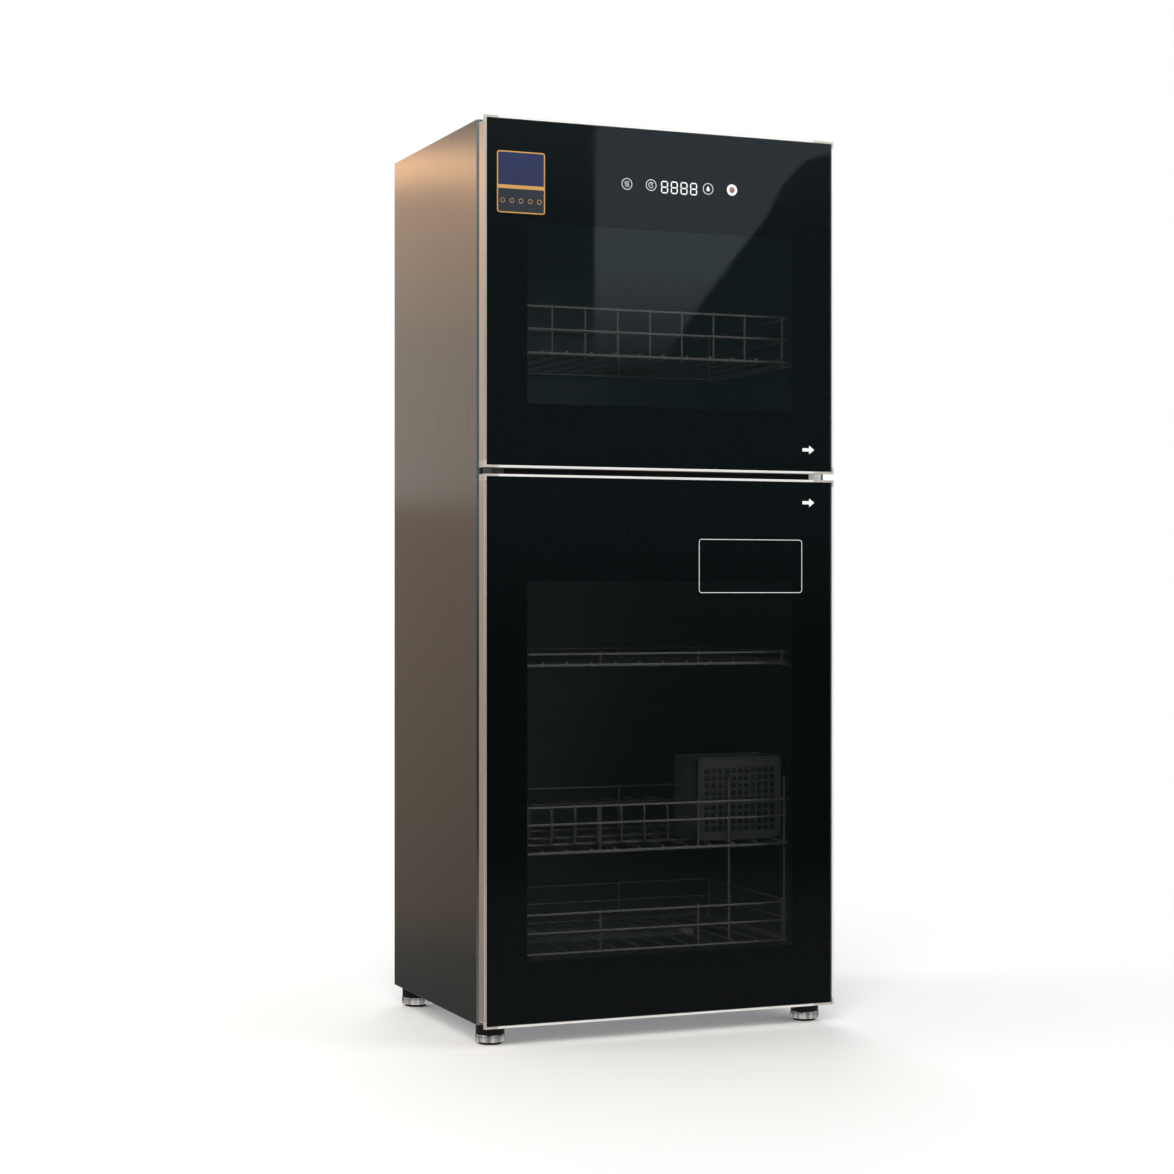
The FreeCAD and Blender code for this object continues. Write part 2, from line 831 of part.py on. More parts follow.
def controls():
    """Touch board and digit display behind the upper glass, in a housing open to the front."""
    left = "-half_width + control_left"
    right = f"{left} + control_width"
    high = "upper_door_high - control_drop"
    low = f"{high} - control_height"
    housing = shell_box(
        "ControlHousing",
        (left, "glass_back + glue_line", low),
        (right, "door_back - frame_wall", high),
        "-Y",
        "control_wall",
        "",
    )
    named(housing, "control_housing")
    inset = "(control_wall + board_inset)"
    board = block(
        "TouchBoardPlate",
        (f"{left} + {inset}", "board_front", f"{low} + {inset}"),
        (f"{right} - {inset}", "board_front + board_thickness", f"{high} - {inset}"),
    )
    digit_left = f"{left} + display_in"
    digit_low = f"{low} + display_rise"
    display = (
        (digit_left, "board_front", digit_low),
        (f"{digit_left} + display_width", "glass_back + display_depth", f"{digit_low} + display_height"),
    )
    slack = "running_fit * 2"
    window = block(
        "DisplayWindow",
        (f"{digit_left} - {slack}", "door_front", f"{digit_low} - {slack}"),
        (f"{digit_left} + display_width + {slack}", "door_back", f"{digit_low} + display_height + {slack}"),
    )
    named(cut("TouchBoard", board, [window]), "touch_board")
    named(block("DigitDisplay", *display), "digit_display")


def tongue(name, low, high, tail):
    """A flat strap with a round nose about the hinge axis. Its neck clears the front of the open door."""
    left, right = "hinge_x - tongue_neck", "hinge_x + tongue_radius"
    nose = rod(name + "Nose", "Z", "tongue_radius", ("hinge_x", "hinge_y", low), f"({high}) - ({low})")
    strap = block(name + "Strap", (left, "hinge_y", low), (right, tail, high))
    return [nose, strap]


def drilled(label, solids, low, length):
    """Joins the solids and drills them for the hinge pin."""
    stem = label.title().replace("_", "")
    hole = rod(stem + "Hole", "Z", "bracket_bore", ("hinge_x", "hinge_y", low), length)
    named(cut(stem + "Drilled", joined(stem, solids), [hole]), label)


def hinges():
    """A bracket at the top, between the doors and at the bottom, each with its pin."""
    top_high = "carcass_top - sheet"
    top_low = f"{top_high} - tongue_thickness"
    low_low = "carcass_low + sheet"
    low_high = f"{low_low} + tongue_thickness"
    mid_low = "lower_door_high + bracket_gap"
    mid_high = "upper_door_low - bracket_gap"
    drill_length = "3 * tongue_thickness + door_gap"

    top = tongue("TopTongue", top_low, top_high, "carcass_front + top_strap")
    drilled("top_hinge_bracket", top, f"{top_low} - tongue_thickness", drill_length)
    bottom = tongue("BottomTongue", low_low, low_high, "carcass_front + bottom_strap")
    drilled("bottom_hinge_bracket", bottom, f"{low_low} - tongue_thickness", drill_length)

    centre = "(lower_door_high + upper_door_low) / 2"
    left = "hinge_x - tongue_radius"
    leaf = block(
        "MiddleLeaf",
        (left, "carcass_front - leaf_thickness", f"{centre} - leaf_height / 2"),
        (f"{left} + leaf_width", "carcass_front", f"{centre} + leaf_height / 2"),
    )
    middle = tongue("MiddleTongue", mid_low, mid_high, "carcass_front")
    drilled("middle_hinge_bracket", middle + [leaf], f"{mid_low} - tongue_thickness", drill_length)

    end_length = "pin_reach + tongue_thickness"
    pins = [
        rod("TopPin", "Z", "pin_radius", ("hinge_x", "hinge_y", f"{top_low} - pin_reach"), end_length),
        rod("BottomPin", "Z", "pin_radius", ("hinge_x", "hinge_y", low_low), end_length),
        rod(
            "MiddlePin",
            "Z",
            "pin_radius",
            ("hinge_x", "hinge_y", "lower_door_high - pin_reach"),
            "2 * pin_reach + door_gap",
        ),
    ]
    named(group("HingePins", pins), "hinge_pins")


# Racks


def cross_height(base):
    """Height of the underside of a rack's cross wires."""
    return f"{base} + 3 * frame_wire + 2 * wire_gap"


def rack_frame(name, base, rises):
    """Welded straight wires: a bottom frame, cross wires, posts by the ends and rails at each rise."""
    over = f"{base} + 2 * frame_wire + wire_gap"
    sides = (("-", "Left"), ("", "Right"))
    wires = []
    for side, tag in sides:
        spot = (f"{side}(rack_half - frame_wire)", "rack_y", base)
        wires.append(wire(f"{name}{tag}Base", "Y", "frame_wire", spot, "rack_length"))
    for y, tag in (("rack_y + frame_wire", "Front"), ("rack_end - frame_wire", "Rear")):
        wires.append(wire(f"{name}{tag}Base", "X", "frame_wire", ("-rack_half", y, over), "rack_width"))
    cross_z = f"{cross_height(base)} + cross_wire"
    count = int(size("cross_count"))
    for number in range(count):
        x = f"cross_pitch * {2 * number - count + 1} / 2"
        wires.append(wire(f"{name}Cross{number}", "Y", "cross_wire", (x, "rack_y", cross_z), "rack_length"))
    height = f"{rises[-1]} + 3 * rail_wire"
    for side, tag in sides:
        for y, end in (("rack_y + post_in", "Front"), ("rack_end - post_in", "Rear")):
            spot = (f"{side}post_x", y, base)
            wires.append(wire(f"{name}{tag}{end}Post", "Z", "frame_wire", spot, height))
    out = "2 * frame_wire - rail_wire"
    for number, rise in enumerate(rises):
        rail_z = f"{base} + {rise}"
        for y, tag in ((f"rack_y + {out}", "Front"), (f"rack_end - ({out})", "Rear")):
            spot = ("-rack_half", y, rail_z)
            wires.append(wire(f"{name}{tag}Rail{number}", "X", "rail_wire", spot, "rack_width"))
        for side, tag in sides:
            spot = (f"{side}(rack_half - ({out}))", "rack_y", f"{rail_z} + 2 * rail_wire + wire_gap")
            wires.append(wire(f"{name}{tag}Rail{number}", "Y", "rail_wire", spot, "rack_length"))
    return wires


def divider(name):
    """One inverted U of wire, with its legs on two bars that run across the rack."""
    body = new_body(name)
    leg = "divider_width / 2"
    shoulder = f"{leg} - divider_bend"
    flat, point = "cross_wire", "cross_wire * tan(22.5 deg)"
    ring = [(flat, point), (point, flat)]
    ring += [(f"-({x})", y) for x, y in ring[::-1]]
    ring += [(x, f"-({y})") for x, y in ring[::-1]]
    section = [(x, f"{y} - {leg}") for x, y in ring]
    profile = sketch_on(body, "Z", "0", [section], "Section")
    route = [
        (f"-{leg}", "0"),
        (f"-{leg}", "divider_height - divider_bend"),
        (f"-({shoulder})", "divider_height"),
        (shoulder, "divider_height"),
        (leg, "divider_height - divider_bend"),
        (leg, "0"),
    ]
    path = sketch_on(body, "X", "0", [], "Route")
    outline(path, route, closed=False)
    pipe = body.newObject("PartDesign::AdditivePipe", "Pipe")
    pipe.Profile = profile
    pipe.Spine = path
    pipe.Transition = "Right corner"
    doc.recompute()
    return body


def front_bars():
    """Upright bars behind the front rails of the upper rack."""
    bars = []
    count = int(size("bar_count"))
    for number in range(count):
        x = f"bar_pitch * {2 * number - count + 1} / 2"
        spot = (x, "rack_y + 2 * frame_wire + wire_gap + cross_wire", "upper_rack_base")
        bars.append(wire(f"FrontBar{number}", "Z", "cross_wire", spot, "upper_high_rail + 3 * rail_wire"))
    return bars


def uprights():
    """Two long posts in front of the basket that join the cup rack and the plate rack."""
    height = "plate_rack_base + upright_top - cup_rack_base"
    posts = []
    outer = "liner_half - runner_width - frame_wire - running_gap"
    wire_x = "rack_half - cross_in - 2 * cross_pitch"
    inner = f"{wire_x} - cross_wire - wire_gap - frame_wire"
    for x, tag in ((outer, "Outer"), (inner, "Inner")):
        spot = (x, "rack_y + post_in_side", "cup_rack_base")
        posts.append(wire(f"Upright{tag}", "Z", "frame_wire", spot, height))
    named(group("RackUprights", posts), "rack_uprights")


def racks():
    wires = rack_frame("Cup", "cup_rack_base", ("cup_low_rail", "cup_high_rail"))
    named(group("CupRack", wires), "cup_rack")
    named(group("GlassRack", rack_frame("Glass", "glass_rack_base", ("glass_rail",))), "glass_rack")
    wires = rack_frame("Upper", "upper_rack_base", ("upper_low_rail", "upper_high_rail"))
    named(group("UpperRack", wires + front_bars()), "upper_rack")

    wires = rack_frame("Plate", "plate_rack_base", ("plate_low_rail", "plate_high_rail"))
    bar_z = "plate_rack_base + 2 * frame_wire + wire_gap"
    middle = "rack_y + rack_length / 2"
    for side, tag in ((-1, "Front"), (1, "Rear")):
        spot = ("-rack_half", f"{middle} + {side} * divider_width / 2", bar_z)
        wires.append(wire(f"DividerBar{tag}", "X", "frame_wire", spot, "rack_width"))
    hoop = divider("Divider")
    for number in range(int(size("divider_count"))):
        x = f"cross_pitch * ({number} + 1 - cross_count / 2)"
        wires.append(copy_at(f"Divider{number}", hoop, x, middle, f"{bar_z} + frame_wire + wire_gap"))
    named(group("PlateRack", wires), "plate_rack")


def strips():
    """Upright strips on the side walls of both compartments. They carry the runners."""
    uprights = []
    for tag, floor, ceiling in (
        ("Lower", "lower_floor", "lower_ceiling"),
        ("Upper", "upper_floor", "upper_ceiling"),
    ):
        heights = (f"{floor} + strip_end", f"{ceiling} - strip_end")
        for spot, y in (("Front", "rack_y + strip_front"), ("Rear", "rack_end - strip_rear")):
            depths = (f"{y} - strip_width / 2", f"{y} + strip_width / 2")
            for side, walls in (
                ("Left", ("-liner_half", "-liner_half + strip_thickness")),
                ("Right", ("liner_half - strip_thickness", "liner_half")),
            ):
                low, high = zip(walls, depths, heights)
                uprights.append(block(f"Strip{tag}{spot}{side}", low, high))
    named(group("ShelfStrips", uprights), "shelf_strips")


def runners():
    """A folded ledge on each side under every rack, held by the strips."""
    ledges = []
    for base in ("cup_rack_base", "plate_rack_base", "glass_rack_base", "upper_rack_base"):
        top = f"{base} - frame_wire - running_gap"
        for side, tag in ((-1, "Left"), (1, "Right")):
            ledge = new_body(f"Runner{tag}{base.split('_')[0].title()}")
            wall = f"{side} * (liner_half - strip_thickness)"
            free = f"{side} * (liner_half - runner_width)"
            leg = f"{side} * (liner_half - strip_thickness - sheet)"
            points = [
                (wall, top),
                (free, top),
                (free, f"{top} - sheet"),
                (leg, f"{top} - sheet"),
                (leg, f"{top} - runner_drop"),
                (wall, f"{top} - runner_drop"),
            ]
            pad(ledge, "Y", "rack_y", "rack_end", [points])
            ledges.append(ledge)
    named(group("RackRunners", ledges), "rack_runners")


def lattice(box, axis, span, columns, start):
    """A grid of square holes through the box along the axis, drawn once and repeated both ways."""
    margin = "(basket_pitch - basket_hole) / 2"
    corner = (f"{start[0]} + {margin}", f"{start[1]} + {margin}")
    hole = rectangle(corner, (f"{corner[0]} + basket_hole", f"{corner[1]} + basket_hole"))
    ends = (f"{span[0]} - {PAST}", f"{span[1]} + {PAST}")
    cutter = pocket(box, axis, *ends, [hole], f"Lattice{axis}")
    grid = box.newObject("PartDesign::MultiTransform", f"LatticeGrid{axis}")
    steps = []
    for way, count in (("H_Axis", columns), ("V_Axis", "basket_rows")):
        step = box.newObject("PartDesign::LinearPattern", f"Lattice{axis}{way[0]}")
        step.Direction = (cutter.Profile[0], [way])
        step.Mode = "Spacing"
        tie(step, Offset="basket_pitch", Occurrences=count)
        steps.append(step)
    grid.Originals = [cutter]
    grid.Transformations = steps
    box.Tip = grid
    doc.recompute()


def basket():
    """The cutlery basket: a moulded lattice box, open at the top, that stands on the plate rack's wires."""
    low_z = f"{cross_height('plate_rack_base')} + 2 * cross_wire + running_gap"
    low_y = "rack_y + basket_front"
    low = ("basket_low_x", low_y, low_z)
    high = ("basket_high_x", f"{low_y} + basket_depth", f"{low_z} + basket_height")
    box = shell_box("Basket", low, high, "+Z", "basket_wall", "basket_corner")
    start_x = "basket_low_x + (basket_width - basket_pitch * basket_columns) / 2"
    start_y = f"{low_y} + (basket_depth - basket_pitch * basket_side_columns) / 2"
    start_z = f"{low_z} + (basket_height - basket_pitch * basket_rows) / 2 - basket_wall / 2"
    lattice(box, "Y", (low[1], high[1]), "basket_columns", (start_x, start_z))
    lattice(box, "X", (low[0], high[0]), "basket_side_columns", (start_y, start_z))
    named(box, "cutlery_basket")


def tray():
    floor = "lower_floor + running_gap"
    low = ("-liner_half + liner_corner", "rack_y", floor)
    high = ("liner_half - liner_corner", "rack_end - tray_rear", f"{floor} + tray_height")
    named(shell_box("DripTray", low, high, "+Z", "tray_wall", "tray_corner"), "drip_tray")


# What heats, dries and disinfects


def lamp():
    """An ultraviolet tube under the ceiling of the upper compartment, in its trough."""
    y = "door_front + lamp_back"
    z = "upper_ceiling - lamp_drop"
    half = "lamp_length / 2"
    end = f"({half} + holder_length)"
    named(rod("LampTube", "X", "lamp_radius", (f"-{half}", y, z), "lamp_length"), "uv_lamp_tube")
    holders = []
    for tag, start in (("Left", f"-{end}"), ("Right", half)):
        low = (start, f"{y} - holder_width / 2", f"{z} - lamp_radius - holder_drop")
        high = (f"{start} + holder_length", f"{y} + holder_width / 2", "upper_ceiling - sheet")
        holders.append(block(f"LampHolder{tag}", low, high))
    named(group("LampHolders", holders), "uv_lamp_holders")
    trough = new_body("LampTrough")
    roof = "upper_ceiling"
    rim = f"{roof} - trough_depth"
    flat, wide = "trough_flat / 2", "trough_width / 2"
    lean = "sheet / 2"
    thick = "sheet * 1.4"
    points = [
        (f"{y} - {wide}", rim),
        (f"{y} - {flat}", roof),
        (f"{y} + {flat}", roof),
        (f"{y} + {wide}", rim),
        (f"{y} + {wide} - {thick}", rim),
        (f"{y} + {flat} - {lean}", f"{roof} - sheet"),
        (f"{y} - {flat} + {lean}", f"{roof} - sheet"),
        (f"{y} - {wide} + {thick}", rim),
    ]
    pad(trough, "X", f"-{end}", end, [points])
    named(trough, "uv_lamp_trough")


def heater():
    """A quartz heating tube low at the back of the lower compartment, between ceramic ends."""
    y = "liner_rear - heater_in"
    z = "lower_floor + heater_rise"
    half = "heater_length / 2"
    outer = f"({half} + ceramic_length)"
    named(rod("HeaterTube", "X", "heater_radius", (f"-{half}", y, z), "heater_length"), "heater_tube")
    ends, brackets = [], []
    for side, tag, start in ((MIRRORED, "Left", f"-{outer}"), (PLAIN, "Right", half)):
        spot = (start, y, z)
        ends.append(rod(f"HeaterEnd{tag}", "X", "heater_radius + ceramic_wall", spot, "ceramic_length"))
        foot = new_body(f"HeaterBracket{tag}")
        near = f"{side} * {outer}"
        far = f"{side} * ({outer} + sheet)"
        toe = f"{side} * ({outer} + bracket_toe)"
        top = f"{z} + heater_radius + ceramic_wall"
        points = [
            (near, "lower_floor"),
            (toe, "lower_floor"),
            (toe, "lower_floor + sheet"),
            (far, "lower_floor + sheet"),
            (far, top),
            (near, top),
        ]
        pad(foot, "Y", f"{y} - bracket_width / 2", f"{y} + bracket_width / 2", [points])
        brackets.append(foot)
    named(group("HeaterEnds", ends), "heater_ends")
    named(group("HeaterBrackets", brackets), "heater_brackets")

    shield = new_body("HeaterReflector")
    low = "lower_floor + reflector_low"
    bend = "lower_floor + reflector_bend"
    points = [
        ("liner_rear", low),
        ("liner_rear", bend),
        ("liner_rear - reflector_hood", f"{bend} + reflector_lift"),
        ("liner_rear - reflector_hood", f"{bend} + reflector_lift - sheet"),
        ("liner_rear - sheet", f"{bend} - sheet"),
        ("liner_rear - sheet", low),
    ]
    pad(shield, "X", f"-{half}", half, [points])
    named(shield, "heater_reflector")


# Each component's left, right, low and high from the middle of the board, and its thickness.
COMPONENTS = {
    "Transformer": ("-40", "-8", "-28", "2", "18"),
    "Relay": ("10", "28", "-28", "-12", "14"),
    "Ballast": ("-30", "30", "12", "30", "11"),
}


def power():
    """The power board in its open box on the back of the upper compartment."""
    wall = "liner_rear + sheet"
    left, right = "-power_width / 2", "power_width / 2"
    low = "power_low"
    high = f"{low} + power_height"
    rear = f"{wall} + power_thickness"
    named(shell_box("PowerBox", (left, wall, low), (right, rear, high), "+Y", "power_wall", ""), "power_box")
    edge = "power_wall + board_gap"
    plate_low = f"{wall} + power_wall"
    top = f"{plate_low} + board_thickness"
    middle = f"{low} + power_height / 2"
    pieces = [
        block(
            "PowerPlate",
            (f"{left} + {edge}", plate_low, f"{low} + {edge}"),
            (f"{right} - ({edge})", top, f"{high} - ({edge})"),
        ),
    ]
    for name, (left, right, low, high, depth) in COMPONENTS.items():
        spans = (left, top, f"{middle} + {low}"), (right, f"{top} + {depth}", f"{middle} + {high}")
        pieces.append(block(name, *spans))
    named(joined("PowerBoard", pieces), "power_board")


def louvres(panel, tag, side, centre):
    """A column of slots through the rear sheet."""
    start = f"{centre} - (vent_slots - 1) * vent_pitch / 2"
    slot = rectangle(
        (f"{side} * vent_middle", f"{start} - vent_slot / 2"),
        (f"{side} * (vent_middle + vent_width)", f"{start} + vent_slot / 2"),
    )
    opening = pocket(panel, "Y", "side_rear - sheet", "rear_face + sheet", [slot], f"Vent{tag}")
    pattern = panel.newObject("PartDesign::LinearPattern", f"Vents{tag}")
    pattern.Originals = [opening]
    pattern.Direction = (opening.Profile[0], ["V_Axis"])
    pattern.Mode = "Spacing"
    tie(pattern, Offset="vent_pitch", Occurrences="vent_slots")
    panel.Tip = pattern
    doc.recompute()


def back():
    """The rear sheet with its louvre slots and cord gland."""
    inside = "half_width - 2 * bend_radius"
    panel = new_body("BackSheet")
    low, high = "carcass_low + sheet", "carcass_top - sheet"
    pad(panel, "Y", "side_rear", "rear_face", [rectangle((f"-({inside})", low), (inside, high))])
    ease(panel, "panel_corner", along("Y"))
    for tag, centre in (
        ("Low", "lower_floor + vent_rise"),
        ("High", "power_low + power_height / 2"),
    ):
        louvres(panel, tag + "Left", MIRRORED, centre)
        louvres(panel, tag + "Right", PLAIN, centre)
    gland_spot = ("half_width - gland_in", "side_rear - sheet", "foot_height + gland_rise")
    hole = rod("GlandHole", "Y", "gland_radius", gland_spot, "3 * sheet")
    named(cut("BackPanel", panel, [hole]), "back_panel")

    collar = [
        ("gland_bore", "-gland_depth"),
        ("gland_radius - running_fit", "-gland_depth"),
        ("gland_radius - running_fit", "0"),
        ("gland_radius + gland_flange", "0"),
        ("gland_radius + gland_flange", "rear_projection"),
        ("gland_bore", "rear_projection"),
    ]
    spot = ("half_width - gland_in", "rear_face", "foot_height + gland_rise")
    named(revolved("CordGland", "Y", spot, collar), "cord_gland")


def write():
    """Checks every object, then writes each sub-part to its own file."""
    doc.recompute()
    for thing in doc.Objects:
        if "Invalid" in thing.State or "Error" in thing.State:
            raise ValueError(f"{thing.Name} ({thing.Label}) did not build: {thing.State}")
    for label, thing in parts.items():
        shape = thing.Shape
        if shape.isNull() or not shape.isValid() or not shape.Solids:
            raise ValueError(f"{label} has no valid solid")
    os.makedirs("parts", exist_ok=True)
    for label, thing in sorted(parts.items()):
        thing.Shape.exportStep(f"parts/{label}.step")
        box = thing.Shape.BoundBox
        spans = f"{box.XLength:.1f} x {box.YLength:.1f} x {box.ZLength:.1f}"
        print(f"{label}: {len(thing.Shape.Solids)} solids, {spans}")
    print(len(parts), "sub-parts")


carcass()
liners()
feet()
doors()
controls()
hinges()
racks()
uprights()
strips()
runners()
basket()
tray()
lamp()
heater()
power()
back()
write()
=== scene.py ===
import json
import math

import bmesh
import bpy
from mathutils import Matrix, Vector


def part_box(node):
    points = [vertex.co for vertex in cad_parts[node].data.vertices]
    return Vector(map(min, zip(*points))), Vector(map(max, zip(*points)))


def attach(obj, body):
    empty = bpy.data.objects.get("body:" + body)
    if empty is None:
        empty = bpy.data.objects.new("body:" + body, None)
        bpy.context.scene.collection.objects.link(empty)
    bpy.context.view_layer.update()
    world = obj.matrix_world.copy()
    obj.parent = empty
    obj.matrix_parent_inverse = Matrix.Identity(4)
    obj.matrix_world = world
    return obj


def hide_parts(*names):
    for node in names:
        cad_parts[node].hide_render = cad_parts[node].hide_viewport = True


# Looks of the dish sterilizer cabinet. Metres, in the frame of the CAD model.

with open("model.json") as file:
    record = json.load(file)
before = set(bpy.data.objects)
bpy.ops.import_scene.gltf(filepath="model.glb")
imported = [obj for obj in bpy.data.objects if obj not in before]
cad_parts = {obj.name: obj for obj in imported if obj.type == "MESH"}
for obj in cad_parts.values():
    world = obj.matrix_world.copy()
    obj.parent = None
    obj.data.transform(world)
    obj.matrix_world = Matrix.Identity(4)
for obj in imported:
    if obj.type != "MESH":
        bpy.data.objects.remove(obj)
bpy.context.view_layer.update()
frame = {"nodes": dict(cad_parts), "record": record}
SCENE = bpy.context.scene
MM = 0.001
WELD_DISTANCE = 0.01 * MM
DOORS = ("upper", "lower")


# Meshes


def new_object(name, bm):
    """Turns the bmesh into an object in the scene."""
    mesh = bpy.data.meshes.new(name)
    bm.to_mesh(mesh)
    bm.free()
    made = bpy.data.objects.new(name, mesh)
    SCENE.collection.objects.link(made)
    return made


def new_piece(name, body, slot, bm, replaced=(), material=None, smooth=True, sharp=35):
    """A piece that rides on the body, in its slot's material unless it has one of its own."""
    bmesh.ops.recalc_face_normals(bm, faces=bm.faces)
    piece = new_object(name, bm)
    mesh = piece.data
    mesh.materials.append(material or MATERIALS[slot])
    for face in mesh.polygons:
        face.use_smooth = smooth
    if smooth:
        mesh.set_sharp_from_angle(angle=math.radians(sharp))
    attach(piece, body)
    if replaced:
        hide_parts(*replaced)
    return piece


def rounded(points, radii, steps=5):
    """The outline with each corner rounded to its radius. A single radius serves all corners."""
    count = len(points)
    radii = radii if isinstance(radii, (list, tuple)) else [radii] * count
    result = []
    for index, point in enumerate(points):
        here = Vector(point)
        before = Vector(points[index - 1]) - here
        after = Vector(points[(index + 1) % count]) - here
        radius = radii[index]
        if radius <= 0:
            result.append(here)
            continue
        half = before.angle(after) / 2
        reach = radius / math.tan(half)
        inward = (before.normalized() + after.normalized()).normalized()
        centre = here + inward * radius / math.sin(half)
        start = here + before.normalized() * reach - centre
        end = here + after.normalized() * reach - centre
        turn = start.angle(end)
        for step in range(steps + 1):
            part = step / steps
            mix = start * math.sin((1 - part) * turn) + end * math.sin(part * turn)
            result.append(centre + mix / math.sin(turn))
    return result


def new_ring(bm, outline, axis, level):
    """The outline's points as verts, at one level along the axis."""
    ring = []
    for point in outline:
        spot = list(point)
        spot.insert(axis, level)
        ring.append(bm.verts.new(spot))
    return ring


def join_rings(bm, here, there):
    """Faces between two rings that have as many verts."""
    count = len(here)
    for index in range(count):
        after = (index + 1) % count
        bm.faces.new((here[index], here[after], there[after], there[index]))


def add_prism(bm, outline, axis, low, high):
    """A solid of constant section along the axis. The outline lies in the other two axes."""
    rings = [new_ring(bm, outline, axis, level) for level in (low, high)]
    bm.faces.new(rings[0])
    bm.faces.new(rings[1][::-1])
    join_rings(bm, *rings)


def add_box(bm, low, high, bevel=0.0):
    """A box between two corners with its edges eased."""
    start = len(bm.verts)
    add_prism(bm, rectangle(low[0], low[1], high[0], high[1]), 2, low[2], high[2])
    if bevel:
        bm.verts.ensure_lookup_table()
        verts = set(bm.verts[start:])
        edges = [edge for edge in bm.edges if edge.verts[0] in verts]
        bmesh.ops.bevel(bm, geom=edges, offset=bevel, segments=2, affect="EDGES")


def add_frame(bm, levels):
    """A closed frame through (outline, y) pairs, whose outlines have as many points."""
    rings = [new_ring(bm, outline, 1, level) for outline, level in levels]
    for here, there in zip(rings, rings[1:] + rings[:1]):
        join_rings(bm, here, there)


def add_flat_frame(bm, outer, inner, low, high):
    """A flat frame between two outlines, from low to high along y."""
    add_frame(bm, [(outer, low), (inner, low), (inner, high), (outer, high)])


def add_lathe(bm, profile, centre, axis=2, sides=40):
    """Turns (radius, distance along the axis) about the axis through the centre."""
    flat = [index for index in range(3) if index != axis]
    rings = []
    for radius, along in profile:
        ring = []
        for step in range(sides if radius > 0 else 1):
            angle = 2 * math.pi * step / sides
            spot = Vector(centre)
            spot[axis] += along
            spot[flat[0]] += radius * math.cos(angle)
            spot[flat[1]] += radius * math.sin(angle)
            ring.append(bm.verts.new(spot))
        rings.append(ring)
    for here, there in zip(rings, rings[1:]):
        for step in range(sides):
            after = (step + 1) % sides
            corners = [here[turn % len(here)] for turn in (step, after)]
            corners += [there[turn % len(there)] for turn in (after, step)]
            bm.faces.new(list(dict.fromkeys(corners)))
    for ring in (rings[0], rings[-1]):
        if len(ring) > 1:
            bm.faces.new(ring)


def add_tube(bm, path, radius, closed=False, sides=12):
    """A round wire along the path, with its section kept square to the path."""
    count = len(path)
    points = [Vector(point) for point in path]

    def heading(index):
        if closed:
            return (points[(index + 1) % count] - points[index - 1]).normalized()
        before, after = max(index - 1, 0), min(index + 1, count - 1)
        return (points[after] - points[before]).normalized()

    way = heading(0)
    side = way.orthogonal().normalized()
    rings = []
    for index, point in enumerate(points):
        new_way = heading(index)
        side = way.rotation_difference(new_way) @ side
        way = new_way
        across = way.cross(side)
        ring = []
        for step in range(sides):
            angle = 2 * math.pi * step / sides
            outward = side * math.cos(angle) + across * math.sin(angle)
            ring.append(bm.verts.new(point + radius * outward))
        rings.append(ring)
    pairs = list(zip(rings, rings[1:]))
    if closed:
        pairs.append((rings[-1], rings[0]))
    for here, there in pairs:
        offset = 0
        if closed and here is rings[-1]:
            offset = min(range(sides), key=lambda shift: (there[shift].co - here[0].co).length)
        join_rings(bm, here, there[offset:] + there[:offset])
    if not closed:
        bm.faces.new(rings[0][::-1])
        bm.faces.new(rings[-1])


def rectangle(left, low, right, high):
    return [(left, low), (right, low), (right, high), (left, high)]


def inside(left, low, right, high, inset):
    """The limits of a rectangle that lies the inset further in on every side."""
    return left + inset, low + inset, right - inset, high - inset


def polar(centre, radius, angle):
    return centre[0] + radius * math.cos(angle), centre[1] + radius * math.sin(angle)


def circle(centre, radius, steps=40):
    return [polar(centre, radius, 2 * math.pi * step / steps) for step in range(steps)]


def open_circle(centre, radius, start, sweep=280, steps=16):
    """An arc that sweeps on from the start angle, both in degrees."""
    angles = [math.radians(start + sweep * step / steps) for step in range(steps + 1)]
    return [polar(centre, radius, angle) for angle in angles]


def solids(node):
    """The low and high corners of each separate solid of a CAD node."""
    source = frame["nodes"][node]
    bm = bmesh.new()
    bm.from_mesh(source.data)
    bmesh.ops.transform(bm, matrix=source.matrix_world, verts=bm.verts)
    bmesh.ops.remove_doubles(bm, verts=bm.verts, dist=WELD_DISTANCE)
    waiting = set(bm.verts)
    boxes = []
    for vert in bm.verts:
        if vert not in waiting:
            continue
        waiting.remove(vert)
        found, front = [vert.co.copy()], [vert]
        while front:
            for edge in front.pop().link_edges:
                for other in edge.verts:
                    if other in waiting:
                        waiting.remove(other)
                        found.append(other.co.copy())
                        front.append(other)
        low = Vector([min(point[axis] for point in found) for axis in range(3)])
        high = Vector([max(point[axis] for point in found) for axis in range(3)])
        boxes.append((low, high))
    bm.free()
    return boxes


# Materials

# The middle of the noise's range, where nearly all of its values lie.
NOISE_LOW = 0.3
NOISE_HIGH = 0.7
GRAIN_SCALE = 60
GRAIN_DEPTH = 0.02 * MM
CLOUD_SCALE = 4
SPECK_DEPTH = 0.1 * MM
SMEAR_SCALE = 9
GLASS_IOR = 1.52


def set_inputs(node, values):
    for name, value in values.items():
        node.inputs[name].default_value = value


def new_node(tree, kind, values=None):
    """A shader node of the kind, with plain values on the inputs named."""
    node = tree.nodes.new(f"ShaderNode{kind}")
    set_inputs(node, values or {})
    return node


def principled(name, colour, roughness, metallic=0.0):
    """A material with its principled shader, whose plain values are set on the shader itself."""
    material = bpy.data.materials.new(name)
    material.use_nodes = True
    shader = material.node_tree.nodes["Principled BSDF"]
    set_inputs(shader, {"Base Color": (*colour, 1), "Roughness": roughness, "Metallic": metallic})
    return material, shader


